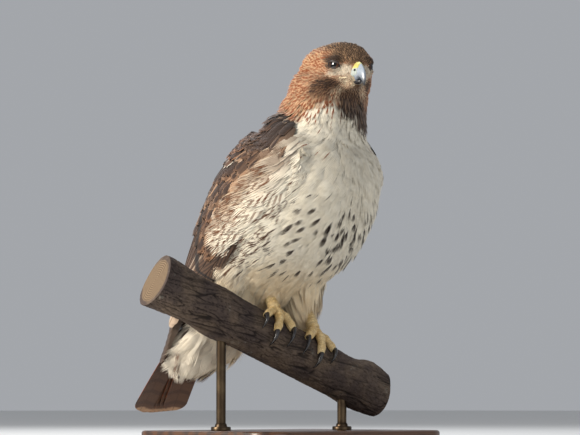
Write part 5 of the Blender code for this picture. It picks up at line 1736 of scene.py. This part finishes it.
def ring_of(centre: Vector, first: Vector, second: Vector, wide: float, high: float, low: float, count: int,
            power: float = 1.0, roof: float = 0.0) -> list[Vector]:
    """A closed ring round a centre, flattened below by another height.

    Args:
        centre: its middle.
        first: the direction of its width.
        second: the direction of its height.
        wide: half its width.
        high: its reach above the middle.
        low: its reach below it.
        count: how many points it has.
        power: below 1 it becomes squarer, above 1 more pointed.
        roof: how much narrower it is at its top, as a share.

    Returns:
        The points, starting at the first direction.
    """
    points = []
    for n in range(count):
        turn = 2.0 * math.pi * n / count
        cosine, sine = math.cos(turn), math.sin(turn)
        x = math.copysign(abs(cosine) ** power, cosine) * wide * (1.0 - roof * (0.3 + 0.7 * sine))
        y = math.copysign(abs(sine) ** power, sine) * (high if sine > 0 else low)
        points.append(centre + first * x + second * y)
    return points


@dataclass
class Eye:
    """An eyeball and the naked lid round its opening, straight above and round below."""

    side: Side
    place: tuple = (0.0148, 0.0136, 0.0020)
    axis: tuple = (0.60, 0.80, 0.0)
    radius: float = 0.0105
    reach: float = 0.0080
    upper: float = 0.0032
    lower: float = 0.0042
    tip: float = math.radians(-13.0)
    lid: float = 0.0008
    cover: float = 0.0004

    def frame(self) -> tuple[Vector, Vector, Vector, Vector]:
        """Centre, line of sight, and the opening's long and high directions."""
        turn = head_frame().to_3x3()
        centre = on_head(self.place[0], self.side.value * self.place[1], self.place[2])
        sight = (turn @ Vector((self.axis[0], self.side.value * self.axis[1], self.axis[2]))).normalized()
        high = (Vector((0.0, 0.0, 1.0)) - sight * sight.z).normalized()
        long = high.cross(sight).normalized()
        forward = turn @ Vector((1.0, 0.0, 0.0))
        long = -long if long.dot(forward) < 0 else long
        cosine, sine = math.cos(self.tip), math.sin(self.tip)
        return centre, sight, long * cosine + high * sine, high * cosine - long * sine

    def build(self) -> list[bpy.types.Object]:
        """Makes the eyeball and its lid."""
        word = self.side.name.lower()
        centre, sight, long, high = self.frame()
        bm = bmesh.new()
        bmesh.ops.create_uvsphere(bm, u_segments=48, v_segments=32, radius=self.radius)
        spin = Vector((0.0, 0.0, 1.0)).rotation_difference(sight).to_matrix()
        bmesh.ops.rotate(bm, verts=bm.verts, matrix=spin)
        bmesh.ops.translate(bm, verts=bm.verts, vec=centre)
        mesh = mesh_of(bm, f"eyeball_{word}")
        out = unit(points_of(mesh) - np.array(centre))
        write_values(mesh, "polar", np.arccos(np.clip(out @ np.array(sight), -1.0, 1.0)))
        ball = add_piece(f"eyeball_{word}", mesh, EyeFinish().material(), (f"eye_{word}",))
        rings = []
        for turn in np.linspace(0.0, 2.0 * math.pi, 64, endpoint=False):
            tall = math.sin(turn) * (self.upper if math.sin(turn) > 0 else self.lower)
            flat = long * (math.cos(turn) * self.reach) + high * tall
            depth = math.sqrt(max(self.radius**2 - flat.length_squared, 0.0))
            middle = centre + sight * depth + flat
            out = (middle - centre).normalized()
            run = high * math.cos(turn) - long * math.sin(turn)
            aside = out.cross(run).normalized()
            thick = self.lid * (1.5 if tall > 0 else 0.7)
            rings.append(ring_of(middle, out, aside, thick, thick * 1.3, thick * 1.3, 10))
        mesh = loop_of(rings, f"lid_{word}")
        finish = WaxySkinFinish("eyelid", paint(48, 36, 31), paint(30, 22, 19), 0.55).material()
        return [ball, add_piece(f"lid_{word}", mesh, finish)]


def loop_of(rings: Sequence[Sequence[Vector]], name: str) -> bpy.types.Mesh:
    """Joins rings that run round in a circle."""
    bm = sweep(list(rings) + [rings[0]], closed=False)
    bmesh.ops.remove_doubles(bm, verts=bm.verts, dist=0.00001)
    bmesh.ops.recalc_face_normals(bm, faces=bm.faces)
    return mesh_of(bm, name)


def section_rings(sections: Sequence[Sequence[float]], count: int, steps: int, power: float,
                  roof: float = 0.0) -> list[list[Vector]]:
    """Rings across the head between sections given as ahead, top, low and half width."""
    places = np.linspace(0.0, len(sections) - 1.0, steps)
    rings = []
    for ahead, top, low, half in station_values(sections, places):
        middle = (top + low) / 2.0
        turn = head_frame().to_3x3()
        rings.append(ring_of(on_head(ahead, 0.0, middle), turn @ Vector((0.0, 1.0, 0.0)), Vector((0.0, 0.0, 1.0)),
                             half, top - middle, middle - low, count, power, roof))
    return rings


@dataclass
class Bill:
    """Cere with nostrils, hooked upper bill, lower bill and the yellow line of the gape."""

    cere_sections: tuple = (
        (0.0230, 0.0026, -0.0125, 0.0095),
        (0.0300, 0.0036, -0.0126, 0.0086),
        (0.0370, 0.0034, -0.0126, 0.0072),
        (0.0415, 0.0022, -0.0122, 0.0062),
        (0.0432, 0.0008, -0.0114, 0.0054),
    )
    lower_sections: tuple = (
        (0.0180, -0.0150, -0.0200, 0.0066),
        (0.0290, -0.0150, -0.0200, 0.0050),
        (0.0370, -0.0152, -0.0198, 0.0038),
        (0.0415, -0.0158, -0.0190, 0.0027),
        (0.0440, -0.0168, -0.0182, 0.0011),
    )
    hook_turn: float = math.radians(100.0)
    hook_steps: int = 40

    def hook_ring(self, t: float) -> list[Vector]:
        """One ring of the upper bill, from its base at 0 to its point at 1."""
        turn = self.hook_turn * t**1.25
        ahead = 0.0388 + 0.0134 * math.sin(turn)
        up = -0.0060 - 0.0148 * (1.0 - math.cos(turn))
        tall = 0.0080 * (1.0 - t) ** 0.75 + 0.0004
        half = 0.0057 * (1.0 - t) ** 0.62 + 0.0004
        spin = head_frame().to_3x3()
        high = spin @ Vector((math.sin(turn), 0.0, math.cos(turn)))
        low = tall * (1.0 + 0.55 * (1.0 - smooth(t, 0.0, 0.6)))
        return ring_of(on_head(ahead, 0.0, up), spin @ Vector((0.0, 1.0, 0.0)), high, half, tall, low, 32, 0.92, 0.60)

    def build(self) -> list[bpy.types.Object]:
        """Makes every part of the bill."""
        cere = mesh_of(sweep(section_rings(self.cere_sections, 32, 24, 0.85, 0.62)), "cere_skin_piece")
        points = head_places(points_of(cere)) / MM
        for aside in (-1.0, 1.0):
            gap = np.sqrt(((points[:, 0] - 39.5) / 2.0) ** 2 + ((points[:, 2] + 5.8) / 1.5) ** 2)
            near = (np.sign(points[:, 1]) == aside) & (np.abs(points[:, 1]) > 3.0)
            points[:, 1] -= aside * 1.5 * np.exp(-gap**2) * near
        spin = np.array(head_frame())
        cere.vertices.foreach_set("co", (points * MM @ spin[:3, :3].T + spin[:3, 3]).astype(np.float32).ravel())
        cere.update()
        write_values(cere, "low", smooth(points[:, 2], -3.0, -5.2))
        yellow = WaxySkinFinish("cere_wax", paint(214, 210, 134), paint(196, 188, 104), 0.45, paint(166, 174, 168)).material()
        made = [add_piece("cere_piece", cere, yellow, ("cere",))]
        made.append(self.nostrils())
        hook = mesh_of(sweep([self.hook_ring(t) for t in np.linspace(0.0, 1.0, self.hook_steps)]), "upper_bill")
        shape = head_places(points_of(hook))
        write_values(hook, "reach", np.clip((0.0005 - shape[:, 2]) / 0.026, 0.0, 1.0))
        horn = HornFinish("bill_horn", paint(150, 160, 172), paint(38, 36, 40)).material()
        made.append(add_piece("upper_bill", hook, horn, ("bill_upper",)))
        lower = mesh_of(sweep(section_rings(self.lower_sections, 28, 20, 0.9)), "lower_bill")
        shape = head_places(points_of(lower))
        write_values(lower, "reach", np.clip((shape[:, 0] - 0.014) / 0.024, 0.0, 1.0))
        made.append(add_piece("lower_bill", lower, horn, ("bill_lower",)))
        made.append(self.gape())
        return made

    def nostrils(self) -> bpy.types.Object:
        """The nostrils: dark ellipsoids in the cere's dents, painted shade that stands for their hollows."""
        bm = bmesh.new()
        for aside in (-1.0, 1.0):
            made = bmesh.ops.create_uvsphere(bm, u_segments=20, v_segments=12, radius=1.0)["verts"]
            frame = head_frame() @ Matrix.Translation((0.0395, aside * 0.0056, -0.0058))
            bmesh.ops.scale(bm, verts=made, vec=(0.0015, 0.0009, 0.0011))
            bmesh.ops.transform(bm, verts=made, matrix=frame)
        # Near-black colour standing for the shade inside the nostril openings.
        dark = WaxySkinFinish("nostril", paint(34, 24, 18), paint(24, 17, 13), 0.7).material()
        return add_piece("nostrils", mesh_of(bm, "nostrils"), dark)

    def gape(self) -> bpy.types.Object:
        """The pale fold along the line of the mouth."""
        meshes = []
        for side in Side:
            line = ((0.0130, 0.0196, -0.0108), (0.0195, 0.0160, -0.0113), (0.0230, 0.0141, -0.0116),
                    (0.0265, 0.0122, -0.0120), (0.0300, 0.0104, -0.0124))
            rings = []
            for n, (ahead, left, up) in enumerate(station_values(line, np.linspace(0.0, 4.0, 22))):
                size = 0.0011 * math.sin(math.pi * (0.12 + 0.80 * n / 21.0)) ** 0.5
                centre = on_head(ahead, side.value * left, up)
                out = (head_frame().to_3x3() @ Vector((0.45, side.value * 0.9, 0.0))).normalized()
                rings.append(ring_of(centre, out, Vector((0.0, 0.0, 1.0)), size, size, size, 12))
            meshes.append(mesh_of(sweep(rings), "gape"))
        finish = WaxySkinFinish("gape_skin", paint(218, 204, 170), paint(190, 170, 130)).material()
        return add_piece("gape", merged(meshes, "gape"), finish)


@dataclass
class Branch:
    """The perch branch: its line, its swellings, and its bark."""

    radius: float = 0.0248
    turn: float = math.radians(-15.0)
    slope: float = math.radians(23.5)
    high_end: float = -0.165
    low_end: float = 0.128
    plain: float = 0.056
    around: int = 220
    rows: int = 420
    crack_depth: float = 0.0016

    def axes(self) -> tuple[Vector, Vector, Vector]:
        """Along the branch, forward across it, and up."""
        flat = Vector((math.cos(self.turn), math.sin(self.turn), 0.0))
        along = flat * math.cos(self.slope) - Vector((0.0, 0.0, math.sin(self.slope)))
        front = Vector((math.sin(self.turn), -math.cos(self.turn), 0.0))
        return along, front, -along.cross(front)

    def point(self, place: float, angle: float, radius: float) -> Vector:
        """A point round the branch; angle 0 is on top and grows forward."""
        along, front, top = self.axes()
        axis = bird(0.0, 0.0, 0.0) - top * self.radius
        return axis + along * place + top * (radius * math.cos(angle)) + front * (radius * math.sin(angle))

    def swell(self, place: float, angle: float) -> float:
        """How much thicker the branch is at a place; nothing under the feet."""
        away = min(max((abs(place) - self.plain) / 0.04, 0.0), 1.0)
        wave = 0.0016 * math.sin(70.0 * place + 2.0 * angle) + 0.0012 * math.sin(3.0 * angle + 1.0 - 45.0 * place)
        taper = -0.010 * (place - 0.05)
        knot = 0.006 * math.exp(-(((place - 0.105) / 0.018) ** 2)) * max(math.cos(angle + 0.5), 0.0) ** 2
        return away * (wave + taper + knot)

    def crack(self, place: float, angle: float) -> float:
        """Depth of the bark's furrows from 0 to 1; they run along the branch and wander."""
        turn = angle + 5.0 * place
        warp = noise.noise(Vector((place * 30.0, math.cos(angle) * 2.0, math.sin(angle) * 2.0 + 7.0)))
        coarse = Vector((place * 34.0 + warp, math.cos(turn) * 7.0 + warp, math.sin(turn) * 7.0))
        fine = Vector((place * 90.0, math.cos(turn) * 17.0, math.sin(turn) * 17.0 + 3.0))
        deep = 1.0 - smooth(abs(noise.noise(coarse)), 0.0, 0.16)
        thin = 1.0 - smooth(abs(noise.noise(fine)), 0.0, 0.14)
        where = smooth(noise.noise(coarse * 0.35), -0.35, 0.25)
        return max(deep * where, 0.55 * thin)

    def build(self) -> list[bpy.types.Object]:
        """Makes the branch and its broken stub."""
        grid = bmesh.new()
        made = bmesh.ops.create_grid(grid, x_segments=self.around, y_segments=self.rows, size=0.5)["verts"]
        length = self.low_end - self.high_end
        for vert in made:
            angle = (vert.co.x + 0.5) * 2.0 * math.pi
            place = self.high_end + (vert.co.y + 0.5) * length
            depth = self.crack(place, angle)
            rough = 0.0004 * noise.fractal(Vector((place * 300.0, math.cos(angle) * 7.0, math.sin(angle) * 7.0)),
                                           0.7, 2.0, 4)
            radius = self.radius + self.swell(place, angle) - self.crack_depth * depth + min(rough, 0.0002)
            vert.co = self.point(place, angle, radius)
        bmesh.ops.remove_doubles(grid, verts=grid.verts, dist=0.00001)
        bark = mesh_of(grid, "branch_bark")
        places = self.places(points_of(bark))
        depth = np.array([self.crack(place, angle) for place, angle in places])
        write_values(bark, "crack", depth)
        write_values(bark, "ring", np.zeros(len(depth)))
        write_values(bark, "sawn", np.zeros(len(depth)))
        meshes = [bark, self.end(self.high_end, -1.0), self.end(self.low_end, 1.0), self.stub()]
        mesh = merged(meshes, "branch")
        return [add_piece("branch", mesh, BarkFinish().material(), ("perch_branch",))]

    def places(self, points: Array) -> Array:
        """Place and angle of points round the branch."""
        along, front, top = (np.array(axis) for axis in self.axes())
        axis = np.array(bird(0.0, 0.0, 0.0)) - top * self.radius
        rel = points - axis
        return np.stack([rel @ along, np.arctan2(rel @ front, rel @ top)], -1)

    def end(self, place: float, way: float) -> bpy.types.Mesh:
        """A sawn end, slightly rough, with rings."""
        count, steps = 96, 14
        rows = []
        for step in range(steps, -1, -1):
            ring = []
            share = step / steps
            for n in range(count):
                angle = 2.0 * math.pi * n / count
                radius = (self.radius + self.swell(place, angle) - 0.0002) * share + 0.00002
                ring.append(self.point(place + way * (0.0006 * (1.0 - share) + (0.0008 if share < 0.97 else 0.0)),
                                       angle, radius))
            rows.append(ring)
        mesh = mesh_of(sweep(rows, closed=False), "sawn_end")
        points = points_of(mesh)
        along, front, top = (np.array(axis) for axis in self.axes())
        rel = points - (np.array(bird(0.0, 0.0, 0.0)) - top * self.radius)
        share = np.sqrt((rel @ front) ** 2 + (rel @ top) ** 2) / self.radius
        write_values(mesh, "crack", np.zeros(len(points)))
        write_values(mesh, "ring", share)
        write_values(mesh, "sawn", smooth(share, 0.97, 0.90))
        return mesh

    def stub(self) -> bpy.types.Mesh:
        """A broken twig on the branch's high end."""
        base = self.point(-0.118, math.radians(-62.0), self.radius * 0.4)
        tip = self.point(-0.134, math.radians(-66.0), self.radius + 0.017)
        way = (tip - base).normalized()
        first = way.orthogonal().normalized()
        second = way.cross(first)
        rings = []
        for n in range(30):
            t = n / 29.0
            radius = 0.0085 + (0.0052 - 0.0085) * t
            ring = []
            for k in range(40):
                turn = 2.0 * math.pi * k / 40
                bumpy = 0.0006 * noise.noise(Vector((math.cos(turn) * 3.0, math.sin(turn) * 3.0, t * 9.0)))
                jag = 0.0016 * noise.noise(Vector((math.cos(turn) * 5.0, math.sin(turn) * 5.0, 3.0))) * (t > 0.98)
                reach = base.lerp(tip, t) + way * jag
                ring.append(reach + (first * math.cos(turn) + second * math.sin(turn)) * (radius + bumpy))
            rings.append(ring)
        mesh = mesh_of(sweep(rings), "stub")
        count = len(mesh.vertices)
        share = np.linalg.norm(np.cross(points_of(mesh) - np.array(base), np.array(way)), axis=1) / 0.0052
        near = (points_of(mesh) - np.array(base)) @ np.array(way) > (tip - base).length * 0.98
        write_values(mesh, "crack", 0.3 * np.ones(count))
        write_values(mesh, "ring", share)
        write_values(mesh, "sawn", (near & (share < 0.8)).astype(float))
        return mesh


@dataclass(frozen=True)
class Toe:
    """One toe: where it starts across the foot, how far it reaches round, its radii and its claw's turn."""

    name: str
    turn: float
    reach: float
    thick: float
    thin: float
    claw: float


@dataclass
class Foot:
    """Shank, four toes and four claws of one side."""

    side: Side
    branch: Branch
    place: float = 0.023
    knee: tuple = (-0.034, 0.030, 0.074)
    shank: tuple = ((0.0068,), (0.0056,), (0.0056,), (0.0070,), (0.0072,))
    toes: tuple = (
        Toe("inner", -0.016, 58.0, 0.0052, 0.0040, 42.0),
        Toe("middle", 0.003, 80.0, 0.0052, 0.0038, 36.0),
        Toe("outer", 0.019, 56.0, 0.0046, 0.0036, 32.0),
        Toe("hind", -0.003, -48.0, 0.0054, 0.0042, -44.0),
    )

    def centre(self) -> float:
        """The foot's place along the branch."""
        return self.side.value * self.place / self.branch.axes()[0].x

    def scaly(self, line: Sequence[Vector], radii: Sequence[float], out: Sequence[Vector], scutes: float,
              name: str) -> bpy.types.Mesh:
        """A tube with broad scutes over its outer face.

        Args:
            line: its middle line.
            radii: its radius at each point.
            out: the outward direction at each point.
            scutes: how many scutes it has.
            name: the mesh's name.

        Returns:
            A mesh with the attribute groove.
        """
        rings, grooves = [], []
        count = 28
        for n, (middle, radius, facing) in enumerate(zip(line, radii, out)):
            t = n / (len(line) - 1)
            way = (line[min(n + 1, len(line) - 1)] - line[max(n - 1, 0)]).normalized()
            facing = (facing - way * facing.dot(way)).normalized()
            across = way.cross(facing)
            phase = (t * scutes) % 1.0
            dip = 1.0 - smooth(phase, 0.0, 0.22) * smooth(phase, 1.0, 0.90)
            ring = []
            for k in range(count):
                turn = 2.0 * math.pi * k / count
                front = smooth(math.cos(turn), 0.05, 0.55)
                pad = 0.10 * smooth(-math.cos(turn), 0.3, 0.9) * (0.5 + 0.5 * math.cos(2 * math.pi * (t * 3.0)))
                size = radius * (1.0 + 0.05 * front * (1.0 - dip) - 0.05 * front * dip + pad)
                ring.append(middle + (facing * math.cos(turn) + across * math.sin(turn)) * size)
                grooves.append(front * dip)
            rings.append(ring)
        mesh = mesh_of(sweep(rings), name)
        write_values(mesh, "groove", self.nearest(mesh, rings, grooves))
        return mesh

    @staticmethod
    def nearest(mesh: bpy.types.Mesh, rings: Sequence[Sequence[Vector]], values: Sequence[float]) -> Array:
        """Values of the ring points nearest to each vertex."""
        tree = BVHTree.FromPolygons([p for ring in rings for p in ring],
                                    [(k, k, k) for k in range(sum(len(ring) for ring in rings))])
        found = [tree.find_nearest(vert.co)[2] for vert in mesh.vertices]
        return np.array([values[index] if index is not None else 0.0 for index in found])

    def toe_point(self, toe: Toe, t: float, lift: float) -> Vector:
        """A point over the branch along a toe."""
        place = self.centre() + self.side.value * toe.turn * t
        return self.branch.point(place, math.radians(toe.reach) * t, self.branch.radius + lift)

    def build(self) -> list[bpy.types.Object]:
        """Makes the foot's pieces."""
        word = self.side.name.lower()
        ankle = self.branch.point(self.centre(), 0.0, self.branch.radius + 0.0075)
        knee = bird(self.knee[0], self.side.value * self.knee[1], self.knee[2])
        count = 60
        line = [ankle.lerp(knee, n / (count - 1)) for n in range(count)]
        radii = [float(value[0]) for value in station_values(self.shank, np.linspace(0.0, 4.0, count))]
        forward = Vector((-0.35, -0.93, 0.0))
        meshes = [self.scaly(line, radii, [forward] * count, 15.0, "shank")]
        for toe in self.toes:
            steps = 44
            line, radii, out = [], [], []
            for n in range(steps):
                t = n / (steps - 1)
                radius = toe.thick + (toe.thin - toe.thick) * t
                knuckle = 1.0 + 0.10 * math.cos(2.0 * math.pi * (t * 3.0 + 0.5)) * smooth(t, 0.05, 0.3)
                line.append(self.toe_point(toe, t, radius * 0.98))
                radii.append(radius * knuckle)
                out.append((self.toe_point(toe, t, 0.01) - self.toe_point(toe, t, 0.0)).normalized())
            meshes.append(self.scaly(line, radii, out, 9.0, toe.name))
        mesh = merged(meshes, f"scaly_foot_{word}")
        made = [add_piece(f"scaly_foot_{word}", mesh, ScaleFinish().material(), (f"foot_{word}",))]
        horn = HornFinish("claw_horn", paint(40, 36, 36), paint(18, 16, 17), 0.25, 0.5).material()
        for toe in self.toes:
            made.append(self.talon(toe, word, horn))
        return made

    def talon(self, toe: Toe, word: str, horn: bpy.types.Material) -> bpy.types.Object:
        """One hooked claw that continues its toe round the branch."""
        rings = []
        steps = 26
        tip_place = self.centre() + self.side.value * toe.turn
        line = []
        for n in range(steps):
            t = n / (steps - 1)
            lift = toe.thin * (1.0 - t) + 0.003 * math.sin(math.pi * t) + 0.0012
            angle = math.radians(toe.reach + toe.claw * t)
            line.append(self.branch.point(tip_place, angle, self.branch.radius + lift))
        along = self.branch.axes()[0]
        for n, middle in enumerate(line):
            t = n / (steps - 1)
            way = (line[min(n + 1, steps - 1)] - line[max(n - 1, 0)]).normalized()
            high = along.cross(way).normalized()
            size = 0.0030 * (1.0 - t) ** 0.8 + 0.0004
            rings.append(ring_of(middle, along, high, size * 0.8, size, size, 20))
        name = f"talon_{word}_{toe.name}"
        mesh = mesh_of(sweep(rings), name)
        reach = self.nearest(mesh, rings, [n / (steps - 1) for n in range(steps) for _ in range(20)])
        write_values(mesh, "reach", reach)
        return add_piece(name, mesh, horn, (f"claw_{word}_{toe.name}",))


@dataclass
class Stand:
    """The display stand: an oiled base and two bronze rods with collars."""

    branch: Branch
    size: tuple = (0.27, 0.21, 0.016)
    corner: float = 0.03
    edge: float = 0.003
    rod: float = 0.005
    places: tuple = (-0.082, 0.078)

    def base(self) -> bpy.types.Object:
        """A plate with round corners and soft edges."""
        bm = bmesh.new()
        bmesh.ops.create_cube(bm, size=1.0)
        bmesh.ops.scale(bm, verts=bm.verts, vec=self.size)
        bmesh.ops.translate(bm, verts=bm.verts, vec=(0.0, 0.0, self.size[2] / 2.0))
        upright = [edge for edge in bm.edges if abs((edge.verts[0].co - edge.verts[1].co).z) > 0.001]
        bmesh.ops.bevel(bm, geom=upright, offset=self.corner, segments=16, affect="EDGES", profile=0.5)
        level = [edge for edge in bm.edges if len(edge.link_faces) == 2
                 and edge.link_faces[0].normal.angle(edge.link_faces[1].normal) > 1.2]
        bmesh.ops.bevel(bm, geom=level, offset=self.edge, segments=5, affect="EDGES", profile=0.5)
        return add_piece("plinth", mesh_of(bm, "plinth"), WoodFinish().material(), ("stand_base",))

    def post(self, number: int, place: float) -> bpy.types.Object:
        """A rod with a collar where it leaves the base."""
        top = self.branch.point(place, 0.0, 0.0)
        foot = Vector((top.x, top.y, self.size[2]))
        profile = [(0.0, 0.0098), (0.0004, 0.0104), (0.0030, 0.0104), (0.0040, 0.0098), (0.0042, 0.0066),
                   (0.0065, 0.0060), (0.0078, self.rod), (top.z - foot.z, self.rod)]
        rings = [ring_of(foot + Vector((0.0, 0.0, height)), Vector((1.0, 0.0, 0.0)), Vector((0.0, 1.0, 0.0)),
                         radius, radius, radius, 48) for height, radius in profile]
        mesh = mesh_of(sweep(rings), f"post_{number}")
        mesh.shade_smooth()
        mesh.set_sharp_from_angle(angle=math.radians(35.0))
        return add_piece(f"post_{number}", mesh, MetalFinish().material(), (f"stand_rod_{number}",))

    def build(self) -> list[bpy.types.Object]:
        """Makes the stand."""
        return [self.base()] + [self.post(n + 1, place) for n, place in enumerate(self.places)]


@dataclass
class Studio:
    """Camera, lights and floor."""

    azimuth: float = math.radians(-45.0)
    elevation: float = math.radians(-5.0)
    distance: float = 2.3
    pixel: float = 0.00106
    width: int = 580
    height: int = 435
    drop: float = 326.0
    aside: float = -2.0

    def axes(self) -> tuple[Vector, Vector, Vector]:
        """Directions toward the camera, right and up in the picture."""
        back = Vector((math.sin(self.azimuth) * math.cos(self.elevation),
                       -math.cos(self.azimuth) * math.cos(self.elevation), math.sin(self.elevation)))
        right = Vector((0.0, 0.0, 1.0)).cross(back).normalized()
        return back, right, back.cross(right)

    def build(self) -> None:
        """Sets up the view, the light and the floor."""
        scene = bpy.context.scene
        back, right, up = self.axes()
        target = Vector((0.0, 0.0, PERCH_TOP))
        target = target + up * (self.drop - self.height / 2.0) * self.pixel + right * self.aside * self.pixel
        camera = bpy.data.cameras.new("camera")
        camera.lens = 36.0 * self.distance / (self.width * self.pixel)
        camera.clip_start, camera.clip_end = 0.05, 60.0
        item = bpy.data.objects.new("camera", camera)
        item.location = target + back * self.distance
        item.rotation_mode = "QUATERNION"
        item.rotation_quaternion = back.to_track_quat("Z", "Y")
        scene.collection.objects.link(item)
        scene.camera = item
        flat_back = Vector((back.x, back.y, 0.0)).normalized()
        key = -right * 0.92 + flat_back * 0.42 + Vector((0.0, 0.0, 0.36))
        fill = right * 0.6 + flat_back * 0.9 + Vector((0.0, 0.0, 0.15))
        rim = -flat_back * 0.8 - right * 0.2 + Vector((0.0, 0.0, 0.9))
        for name, way, power, size in (("key", key, 50.0, 0.55), ("fill", fill, 7.0, 1.6), ("rim", rim, 20.0, 1.0)):
            self.lamp(name, way.normalized() * 1.9, power, size)
        scene.view_settings.view_transform = "Standard"
        world = bpy.data.worlds.new("studio")
        world.use_nodes = True
        world.node_tree.nodes["Background"].inputs[0].default_value = (0.80, 0.83, 0.88, 1.0)
        world.node_tree.nodes["Background"].inputs[1].default_value = 0.46
        scene.world = world
        bm = bmesh.new()
        bmesh.ops.create_grid(bm, x_segments=8, y_segments=8, size=20.0)
        mesh = mesh_of(bm, "floor")
        mesh.materials.append(FloorFinish().material())
        floor = bpy.data.objects.new("floor", mesh)
        floor.location.z = -0.0005
        scene.collection.objects.link(floor)

    @staticmethod
    def lamp(name: str, place: Vector, power: float, size: float) -> None:
        """A soft square light that faces the bird."""
        light = bpy.data.lights.new(name, "AREA")
        light.energy, light.size = power, size
        light.color = (1.0, 0.94, 0.85) if name == "key" else (0.93, 0.96, 1.0)
        item = bpy.data.objects.new(name, light)
        item.location = place + Vector((0.0, 0.0, 0.25))
        item.rotation_mode = "QUATERNION"
        item.rotation_quaternion = place.to_track_quat("Z", "Y")
        bpy.context.scene.collection.objects.link(item)


def main() -> None:
    """Builds every piece in order."""
    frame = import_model()
    markings = Markings()
    skin = Skin()
    skin.build(frame, markings)
    BodyCoat(skin, markings).build()
    WingPlumage(markings).build()
    TailPlumage(markings).build()
    for side in Side:
        Eye(side).build()
    Bill().build()
    branch = Branch()
    branch.build()
    for side in Side:
        Foot(side, branch).build()
    Stand(branch).build()
    Studio().build()


if __name__ == "__main__":
    main()
